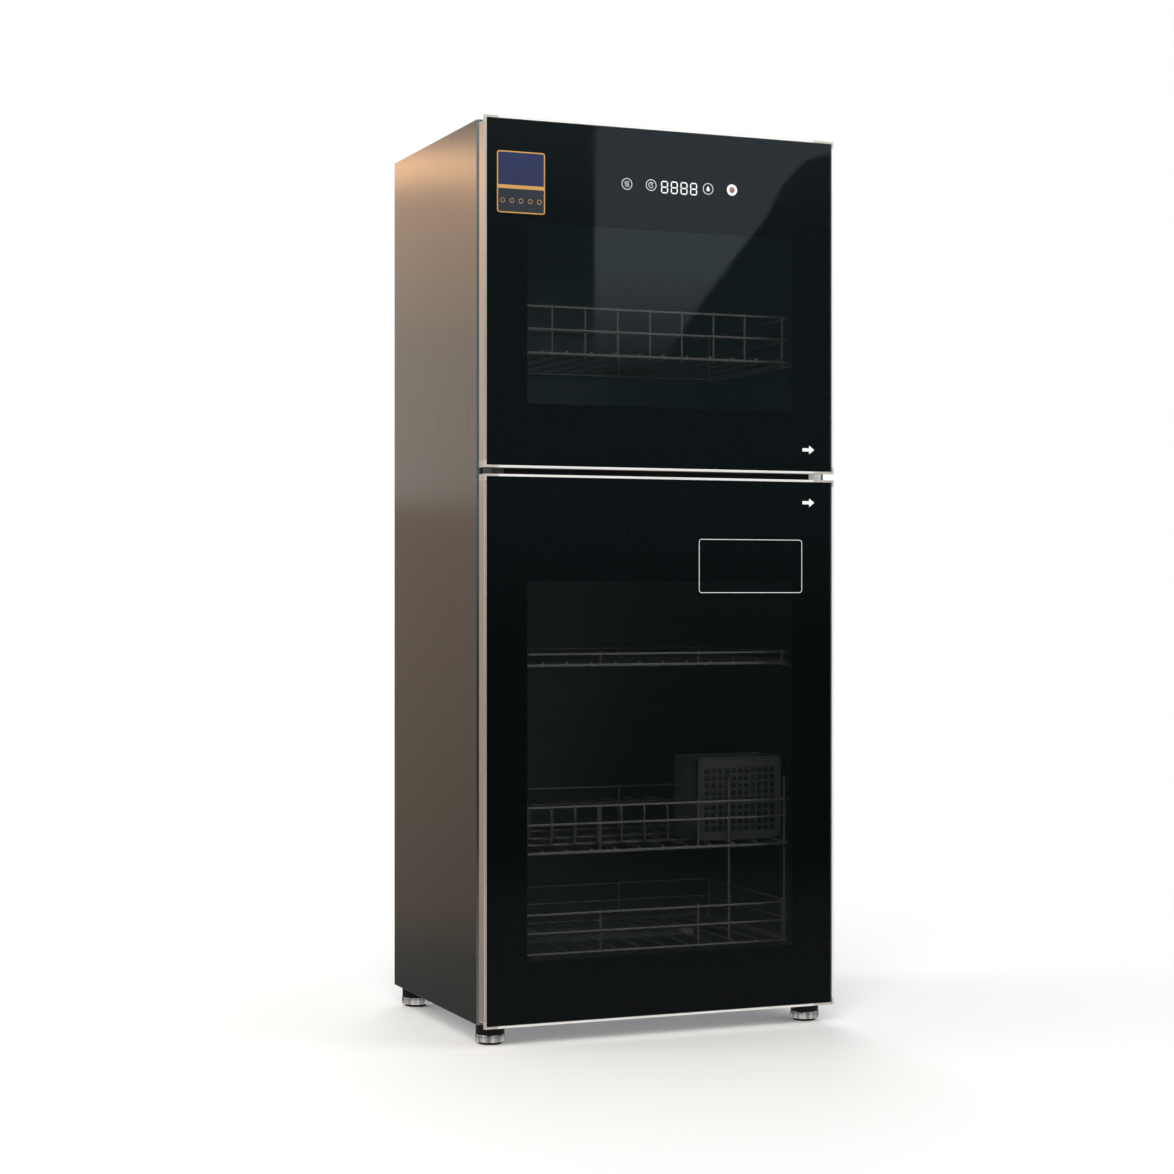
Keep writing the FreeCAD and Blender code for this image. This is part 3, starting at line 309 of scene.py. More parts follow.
def noise(material, scale, stretch=(1, 1, 1), detail=4):
    """Noise in the piece's own coordinates."""
    tree = material.node_tree
    coordinates = new_node(tree, "TexCoord")
    mapping = new_node(tree, "Mapping", {"Scale": stretch})
    texture = new_node(tree, "TexNoise", {"Scale": scale, "Detail": detail})
    tree.links.new(coordinates.outputs["Object"], mapping.inputs["Vector"])
    tree.links.new(mapping.outputs["Vector"], texture.inputs["Vector"])
    return texture.outputs["Fac"]


def ranged(material, value, low, high):
    """The noise value spread between low and high."""
    limits = {"From Min": NOISE_LOW, "From Max": NOISE_HIGH, "To Min": low, "To Max": high}
    node = new_node(material.node_tree, "MapRange", limits)
    node.interpolation_type = "SMOOTHSTEP"
    material.node_tree.links.new(value, node.inputs["Value"])
    return node.outputs["Result"]


def two_tone(material, shader, value, dark, light):
    """Base colour between two tones."""
    node = new_node(material.node_tree, "Mix")
    node.data_type = "RGBA"
    set_inputs(node, {"A": (*dark, 1), "B": (*light, 1)})
    links = material.node_tree.links
    links.new(ranged(material, value, 0, 1), node.inputs["Factor"])
    links.new(node.outputs["Result"], shader.inputs["Base Color"])


def uneven(material, shader, value, roughness, low, high):
    """Roughness that varies between two shares of its value."""
    rough = ranged(material, value, roughness * low, roughness * high)
    material.node_tree.links.new(rough, shader.inputs["Roughness"])


def relief(material, shader, value, strength, distance):
    node = new_node(material.node_tree, "Bump", {"Strength": strength, "Distance": distance})
    links = material.node_tree.links
    links.new(value, node.inputs["Height"])
    links.new(node.outputs["Normal"], shader.inputs["Normal"])


def shade(colour, share):
    return tuple(part * share for part in colour)


def brushed(name, colour, roughness, stretch, contrast=0.06, depth=0.3, metallic=1.0):
    """Metal with a grain: the noise is drawn out along one axis."""
    material, shader = principled(name, colour, roughness, metallic)
    grain = noise(material, GRAIN_SCALE, stretch, detail=6)
    cloud = noise(material, CLOUD_SCALE, detail=2)
    two_tone(material, shader, grain, shade(colour, 1 - contrast), shade(colour, 1 + contrast))
    uneven(material, shader, cloud, roughness, 0.98, 1.02)
    relief(material, shader, grain, depth, GRAIN_DEPTH)
    return material


def speckled(name, colour, roughness, scale, contrast=0.1, depth=0.2, metallic=0.0, gloss=0.5):
    """Moulded, painted or cast surface: fine even noise in colour, roughness and relief."""
    material, shader = principled(name, colour, roughness, metallic)
    set_inputs(shader, {"Specular IOR Level": gloss})
    fine = noise(material, scale)
    broad = noise(material, scale / 40, detail=2)
    two_tone(material, shader, broad, shade(colour, 1 - contrast), shade(colour, 1 + contrast))
    uneven(material, shader, fine, roughness, 0.88, 1.12)
    relief(material, shader, fine, depth, SPECK_DEPTH)
    return material


def tinted_glass(name, colour, alpha, roughness=0.02):
    """Glass as a clear tinted film: alpha is the share of light that one face holds back."""
    material, shader = principled(name, colour, roughness)
    set_inputs(shader, {"Alpha": alpha, "IOR": GLASS_IOR})
    uneven(material, shader, noise(material, SMEAR_SCALE, detail=3), roughness, 0.6, 1.6)
    return material


def glowing(name, colour, strength):
    """Print that shines a little by itself: the lit marks' own glow, and a painted glow on plain print."""
    material, shader = principled(name, colour, 0.4)
    set_inputs(shader, {"Emission Color": (*colour, 1), "Emission Strength": strength})
    two_tone(material, shader, noise(material, 300), shade(colour, 0.96), colour)
    return material


# How much the grain is squeezed along x, y and z. It runs along the axis with the low number.
UPRIGHT = (14, 14, 0.25)
# Upright streaks for the chrome rings of the feet: a painted reflection.
UPRIGHT_STREAKS = (3, 3, 0.05)
LEVEL_X = (0.25, 14, 14)

MATERIALS = {
    "side_steel": brushed("side_steel", (0.47, 0.45, 0.43), 0.12, UPRIGHT, contrast=0.05),
    # Painted highlight: the frame metal is near white and mostly not metallic, so that the lips of the door
    # frames read bright.
    "frame_metal": brushed(
        "frame_metal", (0.87, 0.85, 0.82), 0.28, UPRIGHT, contrast=0.03, depth=0.1, metallic=0.3
    ),
    "rear_sheet": brushed("rear_sheet", (0.52, 0.53, 0.54), 0.42, (3, 3, 3), contrast=0.12),
    "black_steel": speckled("black_steel", (0.008, 0.008, 0.009), 0.42, 900, gloss=0.2),
    # Painted shade: the liner steel is much darker than bare steel, for the dim inside of the closed
    # cabinet.
    "liner_steel": brushed("liner_steel", (0.22, 0.22, 0.215), 0.38, LEVEL_X, contrast=0.06),
    "rack_wire": brushed(
        "rack_wire", (0.62, 0.58, 0.53), 0.2, (6, 6, 6), contrast=0.03, depth=0.05, metallic=0.8
    ),
    "hinge_metal": speckled("hinge_metal", (0.13, 0.13, 0.135), 0.38, 700, metallic=0.8),
    "bolt_steel": brushed("bolt_steel", (0.60, 0.60, 0.58), 0.25, (4, 4, 4)),
    "door_glass": tinted_glass("door_glass", (0.0022, 0.0046, 0.0052), 0.40),
    "corner_plastic": speckled("corner_plastic", (0.66, 0.60, 0.55), 0.35, 900, metallic=0.5),
    "gasket_rubber": speckled("gasket_rubber", (0.012, 0.009, 0.008), 0.6, 500, gloss=0.2),
    "black_plastic": speckled("black_plastic", (0.006, 0.006, 0.006), 0.45, 800, gloss=0.15),
    "board_green": speckled("board_green", (0.02, 0.09, 0.05), 0.4, 300),
    "display_black": speckled("display_black", (0.02, 0.02, 0.022), 0.15, 400),
    "foot_rubber": speckled("foot_rubber", (0.006, 0.006, 0.006), 0.7, 500, gloss=0.15),
    # Painted reflection: the chrome ring's colour carries strong upright streaks.
    "foot_chrome": brushed("foot_chrome", (0.56, 0.54, 0.52), 0.16, UPRIGHT_STREAKS, contrast=0.6, depth=0.15),
    "quartz": tinted_glass("quartz", (0.75, 0.8, 0.85), 0.25, 0.05),
    "ceramic": speckled("ceramic", (0.75, 0.73, 0.68), 0.3, 300, contrast=0.03),
    "white_plastic": speckled("white_plastic", (0.72, 0.72, 0.71), 0.35, 600, contrast=0.03),
    "bright_aluminium": brushed("bright_aluminium", (0.85, 0.86, 0.87), 0.2, LEVEL_X),
    "basket_plastic": speckled("basket_plastic", (0.115, 0.115, 0.115), 0.5, 700),
}
# Painted shade and painted warm reflection: the frame metal again, darker and warmer, for the hinge stiles.
SHADED_STILE_METAL = brushed(
    "stile_metal_painted_shade", (0.75, 0.64, 0.56), 0.2, UPRIGHT, contrast=0.03, depth=0.1, metallic=0.75
)
# Nodes that look different from the others of their slot. The hinge stiles' copy of the frame metal is
# darker and warmer: painted shade and painted warm reflection.
OWN_LOOKS = {
    "upper_door_hinge_stile": SHADED_STILE_METAL,
    "lower_door_hinge_stile": SHADED_STILE_METAL,
    "top_panel": MATERIALS["rear_sheet"],
}
EASED_EDGE = 0.25 * MM


def ease_edges(piece, width, angle):
    """Rounds the edges that turn by more than the angle."""
    bevel = piece.modifiers.new("bevel", "BEVEL")
    bevel.width = width
    bevel.segments = 2
    bevel.limit_method = "ANGLE"
    bevel.angle_limit = math.radians(angle)
    return bevel


def paint_frame():
    """Gives each CAD node its slot's material, with its edges eased."""
    for entry in frame["record"]["subparts"]:
        node = frame["nodes"][entry["node"]]
        material = OWN_LOOKS.get(entry["node"], MATERIALS[entry["material_slot"]])
        if node.material_slots:
            node.material_slots[0].material = material
        else:
            node.data.materials.append(material)
        weld = node.modifiers.new("weld", "WELD")
        weld.merge_threshold = WELD_DISTANCE
        ease_edges(node, EASED_EDGE, 40).harden_normals = True


# Doors

# Painted glow: the white touch marks, arrows and label outline are plain print. The digits and the ring of
# the lit power mark glow by themselves.
PRINT_WHITE = glowing("print_white", (0.86, 0.87, 0.88), 0.12)
PRINT_ROSE = glowing("print_rose", (0.80, 0.45, 0.44), 0.2)
PRINT_BLACK = speckled("print_black", (0.0006, 0.001, 0.001), 0.3, 500, depth=0, gloss=0.05)
# A paler copy of the side steel for the right front flange alone: its near white is a painted highlight.
PAINTED_HIGHLIGHT_FLANGE_STEEL = brushed("flange_steel_painted_highlight", (0.93, 0.92, 0.91), 0.35, UPRIGHT, contrast=0.03, metallic=0.1)
MARK_DEPTH = 0.05 * MM
PANE_INSET = 0.08 * MM
PANE_EDGE = 0.5 * MM
WINDOW_CORNER = 3 * MM
# Clear window in each door's printed border: left and right from the door's left edge, low and high above
# the lower door's bottom edge.
WINDOWS = {"upper": (51.5, 686, 378.5, 885), "lower": (51.5, 71, 378.5, 490)}


def door_corner():
    """The lower left front corner of the lower door, from which places on the doors are measured."""
    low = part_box("lower_door_hinge_corners")[0]
    return Vector((low.x, low.y, low.z))


CORNER = door_corner()


def beside(spot, across, up):
    """The place that lies some millimetres across and up from the spot."""
    return spot[0] + across * MM, spot[1] + up * MM


def on_door(across, up):
    """A place on the front of the doors, from millimetres measured from the corner."""
    return beside((CORNER.x, CORNER.z), across, up)


def door_limits(left, bottom, right, top):
    """The limits of a rectangle on the doors, from millimetres measured from the corner."""
    return *on_door(left, bottom), *on_door(right, top)


def new_print(name, door, material, bm, slot="door_glass"):
    """A flat printed piece that rides on its door."""
    new_piece(name, f"{door}_door", slot, bm, material=material, smooth=False)


def panes():
    """Each pane has ground edges, and its black print lies on its back with a clear window."""
    for door in DOORS:
        low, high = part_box(f"{door}_door_glass")
        bm = bmesh.new()
        add_box(bm, (low.x, low.y + PANE_INSET, low.z), (high.x, high.y, high.z), PANE_EDGE)
        new_piece(f"{door}_pane", f"{door}_door", "door_glass", bm, [f"{door}_door_glass"])
        outer = rounded(rectangle(low.x, low.z, high.x, high.z), WINDOW_CORNER)
        inner = rounded(rectangle(*door_limits(*WINDOWS[door])), WINDOW_CORNER)
        bm = bmesh.new()
        add_flat_frame(bm, outer, inner, high.y - 3 * MARK_DEPTH, high.y - MARK_DEPTH)
        new_print(f"{door}_glass_print", door, PRINT_BLACK, bm)


# Half of the door seal's section: millimetres in from its outer edge and back from the door.
SEAL_HALF = ((8.2, 0), (8.2, 1.0), (6.6, 1.5), (6.6, 2.2), (8.4, 2.8), (9.0, 3.4), (9.0, 5.2), (8.6, 5.7))
SEAL_WIDTH = 9.0
SEAL = (*SEAL_HALF, *((SEAL_WIDTH - inset, back) for inset, back in SEAL_HALF[::-1]))
SEAL_CORNER = 3.5 * MM
SEAL_INNER_CORNER = 0.5 * MM


def seals():
    """Each door's soft seal: a base, a folded neck and the tube that holds the magnet."""
    for door in DOORS:
        low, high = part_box(f"{door}_door_gasket")
        levels = []
        for inset, back in SEAL:
            outline = rectangle(*inside(low.x, low.z, high.x, high.z, inset * MM))
            corner = max(SEAL_CORNER - inset * MM, SEAL_INNER_CORNER)
            levels.append((rounded(outline, corner), low.y + back * MM))
        bm = bmesh.new()
        add_frame(bm, levels)
        new_piece(f"{door}_seal", f"{door}_door", "gasket_rubber", bm, [f"{door}_door_gasket"], sharp=40)


def add_mark(bm, outline):
    """A flat printed shape on the front of a door."""
    add_prism(bm, outline, 1, CORNER.y, CORNER.y + MARK_DEPTH)


def add_band(bm, outer, inner):
    """A flat printed frame between two outlines on the front of a door."""
    add_flat_frame(bm, outer, inner, CORNER.y, CORNER.y + MARK_DEPTH)


def add_stroke(bm, points, width):
    """A line of even width through the points."""
    for start, end in zip(points, points[1:]):
        start, end = Vector(start), Vector(end)
        way = (end - start).normalized() * width / 2
        side = Vector((-way.y, way.x))
        add_mark(bm, [start - way - side, end + way - side, end + way + side, start - way + side])


ICON_RADIUS = 6.4 * MM
ICON_LINE = 0.6 * MM
ICONS = ((169.2, 934.6), (198.8, 935.2), (269.4, 935.4))
LIT_ICON = (299.4, 936.0)
LIT_HOLE = 3.4 * MM
# Millimetres: how far apart the waves of warm air are, and their sway and rise from point to point.
WAVE_PITCH = 1.9
WAVE_SWAY = 0.5
WAVE_RISE = 0.75
WAVE_STEPS = 8
DROP_RADIUS = 2.2
DROP_STEPS = 28
TIMER_RADIUS = 3 * MM
TIMER_LINE = 0.7 * MM
POWER_RADIUS = 1.9 * MM
POWER_LINE = 0.8 * MM
# Where the open circles start, in degrees.
TIMER_START = 40
POWER_START = 130


def wave(centre):
    """A short upright wavy line of warm air."""
    return [
        beside(centre, WAVE_SWAY * math.sin(0.9 * step), WAVE_RISE * (step - WAVE_STEPS / 2))
        for step in range(WAVE_STEPS + 1)
    ]


def drop(centre):
    """A water drop: a circle drawn up to a point."""
    points = []
    for step in range(DROP_STEPS):
        angle = 2 * math.pi * step / DROP_STEPS
        upper = max(0, math.sin(angle))
        across = DROP_RADIUS * (1 - 0.3 * upper) * math.cos(angle)
        up = DROP_RADIUS * (1 + 0.75 * upper**5) * math.sin(angle)
        points.append(beside(centre, across, up - 0.6))
    return points


def touch_marks():
    """Three ringed touch marks: warm air, timer and drop."""
    bm = bmesh.new()
    warm, timer, wet = (on_door(*spot) for spot in ICONS)
    for centre in (warm, timer, wet):
        add_band(bm, circle(centre, ICON_RADIUS), circle(centre, ICON_RADIUS - ICON_LINE))
    for place in (-1, 0, 1):
        add_stroke(bm, wave(beside(warm, place * WAVE_PITCH, 0)), ICON_LINE)
    add_stroke(bm, open_circle(timer, TIMER_RADIUS, TIMER_START), TIMER_LINE)
    add_stroke(bm, [beside(timer, 0, 2), timer, beside(timer, 1.6, 0)], ICON_LINE)
    add_mark(bm, drop(wet))
    new_print("touch_marks", "upper", PRINT_WHITE, bm)


def power_mark():
    """The lit touch mark: a broad ring around a rose power sign."""
    centre = on_door(*LIT_ICON)
    bm = bmesh.new()
    add_band(bm, circle(centre, ICON_RADIUS), circle(centre, LIT_HOLE))
    new_print("power_mark_ring", "upper", PRINT_WHITE, bm)
    bm = bmesh.new()
    add_stroke(bm, open_circle(centre, POWER_RADIUS, POWER_START), POWER_LINE)
    add_stroke(bm, [beside(centre, 0, 2.6), beside(centre, 0, 0.4)], POWER_LINE)
    new_print("power_mark", "upper", PRINT_ROSE, bm)


DIGIT_COUNT = 4
DIGITS_LEFT = 211
DIGITS_LOW = 927
DIGIT_PITCH = 12
DIGIT_WIDTH = 8.6
DIGIT_HEIGHT = 14
SEGMENT_WIDTH = 1.3
SEGMENT_GAP = 0.35


def add_segment(bm, start, end):
    """One bar of a digit, pointed at both ends."""
    start, end = Vector(start), Vector(end)
    way = (end - start).normalized()
    side = Vector((-way.y, way.x)) * SEGMENT_WIDTH * MM / 2
    start, end = start + way * SEGMENT_GAP * MM, end - way * SEGMENT_GAP * MM
    tip = way * SEGMENT_WIDTH * MM / 2
    add_mark(bm, [start, start + tip - side, end - tip - side, end, end - tip + side, start + tip + side])


def digits():
    """Four figures of seven bars, all lit."""
    bm = bmesh.new()
    for number in range(DIGIT_COUNT):
        left = DIGITS_LEFT + number * DIGIT_PITCH + SEGMENT_WIDTH / 2
        right = left + DIGIT_WIDTH - SEGMENT_WIDTH
        low = DIGITS_LOW + SEGMENT_WIDTH / 2
        high = low + DIGIT_HEIGHT - SEGMENT_WIDTH
        middle = (low + high) / 2
        for across in (left, right):
            add_segment(bm, on_door(across, low), on_door(across, middle))
            add_segment(bm, on_door(across, middle), on_door(across, high))
        for up in (low, middle, high):
            add_segment(bm, on_door(left, up), on_door(right, up))
    new_print("display_digits", "upper", PRINT_WHITE, bm, "display_black")


ARROWS = {"upper": (397.5, 642), "lower": (397.5, 581)}
ARROW = ((-8, -1.8), (0.6, -1.8), (0.6, -4.8), (7.2, 0), (0.6, 4.8), (0.6, 1.8), (-8, 1.8))


def arrows():
    """An arrow at the grip side of each door."""
    for door, spot in ARROWS.items():
        bm = bmesh.new()
        add_mark(bm, [beside(on_door(*spot), across, up) for across, up in ARROW])
        new_print(f"{door}_arrow", door, PRINT_WHITE, bm)


# The limits of the label and the sticker are given as those of WINDOWS are.
LABEL_BOX = (258, 477, 388.8, 538)
LABEL_CORNER = 3.5 * MM
LABEL_LINE = 0.55 * MM


def label_box():
    """The thin outline of the bare label on the lower door."""
    limits = door_limits(*LABEL_BOX)
    outer = rounded(rectangle(*limits), LABEL_CORNER)
    inner = rounded(rectangle(*inside(*limits, LABEL_LINE)), LABEL_CORNER - LABEL_LINE)
    bm = bmesh.new()
    add_band(bm, outer, inner)
    new_print("label_outline", "lower", PRINT_WHITE, bm)


STICKER = (14.4, 894, 70.8, 962)
STICKER_BORDER = 1.3 * MM
STICKER_CORNER = 3 * MM
STICKER_INNER_CORNER = 2 * MM
# How far up the sticker's tones meet, and how far up its low tone the rings lie.
STICKER_SPLIT = 0.42
STICKER_RING_HEIGHT = 0.45
STICKER_STRIPE = 2 * MM
STICKER_RINGS = 5
STICKER_RING = (2.6 * MM, 2.1 * MM)


def sticker():
    """A bare two-tone sticker with a gold border, stripe and rings."""
    limits = door_limits(*STICKER)
    left, low, right, high = inside(*limits, STICKER_BORDER)
    gold = speckled("sticker_gold", (0.50, 0.27, 0.07), 0.35, 500, depth=0.02)
    blue = speckled("sticker_blue", (0.014, 0.018, 0.065), 0.3, 500, depth=0.02)
    grey = speckled("sticker_grey", (0.016, 0.019, 0.028), 0.3, 500, depth=0.02)
    outer = rounded(rectangle(*limits), STICKER_CORNER)
    inner = rounded(rectangle(left, low, right, high), STICKER_INNER_CORNER)
    bm = bmesh.new()
    add_band(bm, outer, inner)
    new_print("sticker_border", "upper", gold, bm)
    split = low + (high - low) * STICKER_SPLIT
    bm = bmesh.new()
    add_mark(bm, rectangle(left, split - STICKER_STRIPE, right, split + STICKER_STRIPE))
    for number in range(STICKER_RINGS):
        across = (right - left) * (number + 0.5) / STICKER_RINGS
        spot = (left + across, low + (split - low) * STICKER_RING_HEIGHT)
        add_band(bm, *(circle(spot, radius, 20) for radius in STICKER_RING))
    new_print("sticker_marks", "upper", gold, bm)
    fields = (("sticker_low", low, split, grey), ("sticker_high", split, high, blue))
    for name, bottom, top, material in fields:
        bm = bmesh.new()
        front = CORNER.y + MARK_DEPTH / 2
        add_prism(bm, rectangle(left, bottom, right, top), 1, front, CORNER.y + MARK_DEPTH)
        new_print(name, "upper", material, bm)


# Carcass

BEND = 3.2 * MM
SHEET = 1 * MM
BEND_END = 4 * MM
FRONT_FLANGE = 20 * MM
REAR_FLANGE = 12 * MM
SHEET_EDGE = 0.2 * MM
FLANGE_EDGE = 0.15 * MM


def side_panels():
    """Folded sheet with round bends, wide flange in front and narrow one behind."""
    for side, name in ((-1, "left"), (1, "right")):
        low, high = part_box(f"{name}_side_panel")
        out = low.x if side < 0 else high.x
        within, bend_end, front_end, rear_end = (
            out - side * depth for depth in (SHEET, BEND_END, FRONT_FLANGE, REAR_FLANGE)
        )
        points = [
            (bend_end, low.y),
            (out, low.y),
            (out, high.y),
            (rear_end, high.y),
            (rear_end, high.y - SHEET),
            (within, high.y - SHEET),
            (within, low.y + SHEET),
            (bend_end, low.y + SHEET),
        ]
        radii = [0, BEND, BEND, 0, 0, BEND - SHEET, BEND - SHEET, 0]
        bm = bmesh.new()
        add_prism(bm, rounded(points, radii, steps=8), 2, low.z, high.z)
        piece = new_piece(f"{name}_side_sheet", "cabinet", "side_steel", bm, [f"{name}_side_panel"])
        ease_edges(piece, SHEET_EDGE, 50)
        left, right = sorted((bend_end, front_end))
        bm = bmesh.new()
        add_box(bm, (left, low.y, low.z), (right, low.y + SHEET, high.z), FLANGE_EDGE)
        # Painted highlight: the right front flange takes the paler steel, the left one keeps the side steel.
        steel = MATERIALS["side_steel"] if side < 0 else PAINTED_HIGHLIGHT_FLANGE_STEEL
        new_piece(f"{name}_front_flange", "cabinet", "side_steel", bm, material=steel)


# The feet, in millimetres.
PAD_RADIUS = 12.9
RING_BORE = 13.0
RING_RADIUS = 16.6
RING_LOW = 2.9
RING_DROP = 2.5
DISC_RADIUS = 16.0


def foot_profiles(pad, ring, disc):
    """Radius and height, in millimetres, along the pad, the ring and the disc, from their top heights."""
    pads = [
        (0, 0),
        (PAD_RADIUS - 1.4, 0),
        (PAD_RADIUS - 0.3, 0.3),
        (PAD_RADIUS, 1),
        (PAD_RADIUS, pad),
        (0, pad),
    ]
    rings = [
        (0, pad),
        (RING_BORE, pad),
        (RING_BORE, RING_LOW + 0.1),
        (RING_RADIUS - 1.2, RING_LOW),
        (RING_RADIUS - 0.4, RING_LOW + 0.3),
        (RING_RADIUS, RING_LOW + 1),
        (RING_RADIUS, ring - 0.8),
        (RING_RADIUS - 0.6, ring),
        (0, ring),
    ]
    discs = [
        (0, ring),
        (DISC_RADIUS - 0.8, ring),
        (DISC_RADIUS - 0.1, ring + 0.5),
        (DISC_RADIUS, ring + 1.2),
        (DISC_RADIUS, disc - 0.4),
        (DISC_RADIUS - 0.4, disc),
        (0, disc),
    ]
    return pads, rings, discs


def feet():
    """Four feet: rubber pad, turned chrome ring and black disc."""
    spots = [((low.x + high.x) / 2, (low.y + high.y) / 2) for low, high in solids("foot_pads")]
    pad, ring, disc = (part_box(f"foot_{part}")[1].z / MM for part in ("pads", "rings", "discs"))
    pads, rings, discs = foot_profiles(pad, ring - RING_DROP, disc)
    for part, slot, profile in (
        ("pads", "foot_rubber", pads),
        ("rings", "foot_chrome", rings),
        ("discs", "black_plastic", discs),
    ):
        bm = bmesh.new()
        for x, y in spots:
            add_lathe(bm, [(radius * MM, z * MM) for radius, z in profile], (x, y, 0), sides=64)
        new_piece(f"feet_{part}", "cabinet", slot, bm, [f"foot_{part}"], sharp=30)


# Racks

# Wires are given by their radius.
FRAME_WIRE = 2 * MM
RAIL_WIRE = 1.5 * MM
CROSS_WIRE = 1.4 * MM
CORNER_WIRE = 1.8 * MM
POST_WIRE = 1.6 * MM
RACK_CORNER = 14 * MM
RUNNER_BAR_END = 3 * MM
CROSS_PITCH = 29.6 * MM
CROSS_COUNT = 12
# A cross wire stops short of the rack's edge, and its last stretch dips.
CROSS_END = 0.8 * MM
CROSS_BEND = 3 * MM
CROSS_DIP = 1.2 * MM
# Heights of the rails over the rack's base, in millimetres.
RAIL_RISES = {"cup": (26, 47), "plate": (34.5, 54), "glass": (15,), "upper": (29.5, 55)}
POST_TIP = 1.5 * MM
POST_FROM_BEND = 8 * MM
BAR_PITCH = 40 * MM
BAR_COUNT = 7


def spread_out(count, pitch):
    """Places at even steps about the middle."""
    return [pitch * (number - (count - 1) / 2) for number in range(count)]


def add_loop(bm, limits, height, corner, radius):
    """A closed wire around the limits, with bent corners."""
    corners = [(x, y, height) for x, y in rectangle(*limits)]
    add_tube(bm, rounded(corners, corner, steps=8), radius, closed=True)


def add_cross_wires(bm, low, high, z):
    """Wires from front to rear, with their ends bent down."""
    for x in spread_out(CROSS_COUNT, CROSS_PITCH):
        path = [
            (x, low.y + CROSS_END, z - CROSS_DIP),
            (x, low.y + CROSS_BEND, z),
            (x, high.y - CROSS_BEND, z),
            (x, high.y - CROSS_END, z - CROSS_DIP),
        ]
        add_tube(bm, path, CROSS_WIRE, sides=10)


def rack(name):
    """Bent and welded wire: a base loop on two runner bars, cross wires, posts and closed rails."""
    low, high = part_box(f"{name}_rack")
    limits = low.x, low.y, high.x, high.y
    base = low.z + FRAME_WIRE
    frame_z = base + 2 * FRAME_WIRE
    bm = bmesh.new()
    for x in (low.x + FRAME_WIRE, high.x - FRAME_WIRE):
        add_tube(bm, [(x, low.y + RUNNER_BAR_END, base), (x, high.y - RUNNER_BAR_END, base)], FRAME_WIRE)
    add_loop(bm, inside(*limits, FRAME_WIRE), frame_z, RACK_CORNER, FRAME_WIRE)
    add_cross_wires(bm, low, high, frame_z + FRAME_WIRE + CROSS_WIRE)
    for rise in RAIL_RISES[name]:
        rail = inside(*limits, 2 * FRAME_WIRE - RAIL_WIRE)
        add_loop(bm, rail, base + rise * MM + RAIL_WIRE, RACK_CORNER, RAIL_WIRE)
    left, front, right, rear = inside(*limits, 3 * FRAME_WIRE)
    top = base + RAIL_RISES[name][-1] * MM + 2 * RAIL_WIRE + POST_TIP
    from_end = RACK_CORNER + POST_FROM_BEND
    for x in (left, right):
        for y in (low.y + from_end, high.y - from_end):
            add_tube(bm, [(x, y, base), (x, y, top)], CORNER_WIRE)
    for x in (low.x / 3, high.x / 3):
        for y in (front, rear):
            if name != "upper" or y > 0:
                add_tube(bm, [(x, y, frame_z), (x, y, top)], CROSS_WIRE)
    if name == "plate":
        add_dividers(bm, low, high, base)
    if name == "upper":
        y = low.y + 2 * FRAME_WIRE + CROSS_WIRE
        for x in spread_out(BAR_COUNT, BAR_PITCH):
            add_tube(bm, [(x, y, base), (x, y, top)], CROSS_WIRE)
    body = "lower_racks" if name in ("cup", "plate") else f"{name}_rack"
    new_piece(f"{name}_rack_wires", body, "rack_wire", bm, [f"{name}_rack"], sharp=60)


def uprights():
    """Two long posts in front of the basket, with rounded tips."""
    bm = bmesh.new()
    for low, high in solids("rack_uprights"):
        x, y = (low.x + high.x) / 2, (low.y + high.y) / 2
        tip = POST_WIRE / 2
        profile = [(0, low.z), (POST_WIRE - tip, low.z), (POST_WIRE, low.z + tip)]
        profile += [(POST_WIRE, high.z - tip), (POST_WIRE - tip, high.z), (0, high.z)]
        add_lathe(bm, profile, (x, y, 0), sides=16)
    new_piece("upright_posts", "lower_racks", "rack_wire", bm, ["rack_uprights"])


DIVIDER_COUNT = 8
DIVIDER_HALF = 35 * MM
DIVIDER_HEIGHT = 44 * MM
DIVIDER_CORNER = 12 * MM
DIVIDER_BAR_END = 2 * MM


def add_dividers(bm, low, high, base):
    """Inverted hoops that hold the plates apart, on two bars across the rack."""
    middle = (low.y + high.y) / 2
    front, rear = middle - DIVIDER_HALF, middle + DIVIDER_HALF
    bar_z = base + 2 * FRAME_WIRE
    for y in (front, rear):
        add_tube(bm, [(low.x + DIVIDER_BAR_END, y, bar_z), (high.x - DIVIDER_BAR_END, y, bar_z)], FRAME_WIRE)
    foot = bar_z + FRAME_WIRE
    top = foot + DIVIDER_HEIGHT
    for number in range(DIVIDER_COUNT):
        x = CROSS_PITCH * (number + 1 - CROSS_COUNT / 2)
        hoop = [(x, front, foot), (x, front, top), (x, rear, top), (x, rear, foot)]
        path = rounded(hoop, [0, DIVIDER_CORNER, DIVIDER_CORNER, 0], steps=8)
        add_tube(bm, path, CROSS_WIRE, sides=10)


HOLE_PITCH = 8.4 * MM
HOLE_SIZE = 5.9 * MM
FRONT_COLUMNS = 11
SIDE_COLUMNS = 5
HOLE_ROWS = 9
BASKET_WALL = 1.8 * MM
BASKET_RIM = 2.6 * MM
BASKET_INSET = 0.6 * MM
BASKET_EDGE = 0.3 * MM
RIM_WIRE = 1.35 * MM
RIM_INSET = 0.9 * MM
RIM_RISE = 1.2 * MM
RIM_CORNER = 5 * MM
RIB_EDGE = 0.25 * MM
# How far the level bands, the upright ribs and the level ribs lie inside the wall, so that no faces meet.
BAND_INSET = 0.01 * MM
UPRIGHT_INSET = 0.1 * MM
LEVEL_INSET = 0.2 * MM


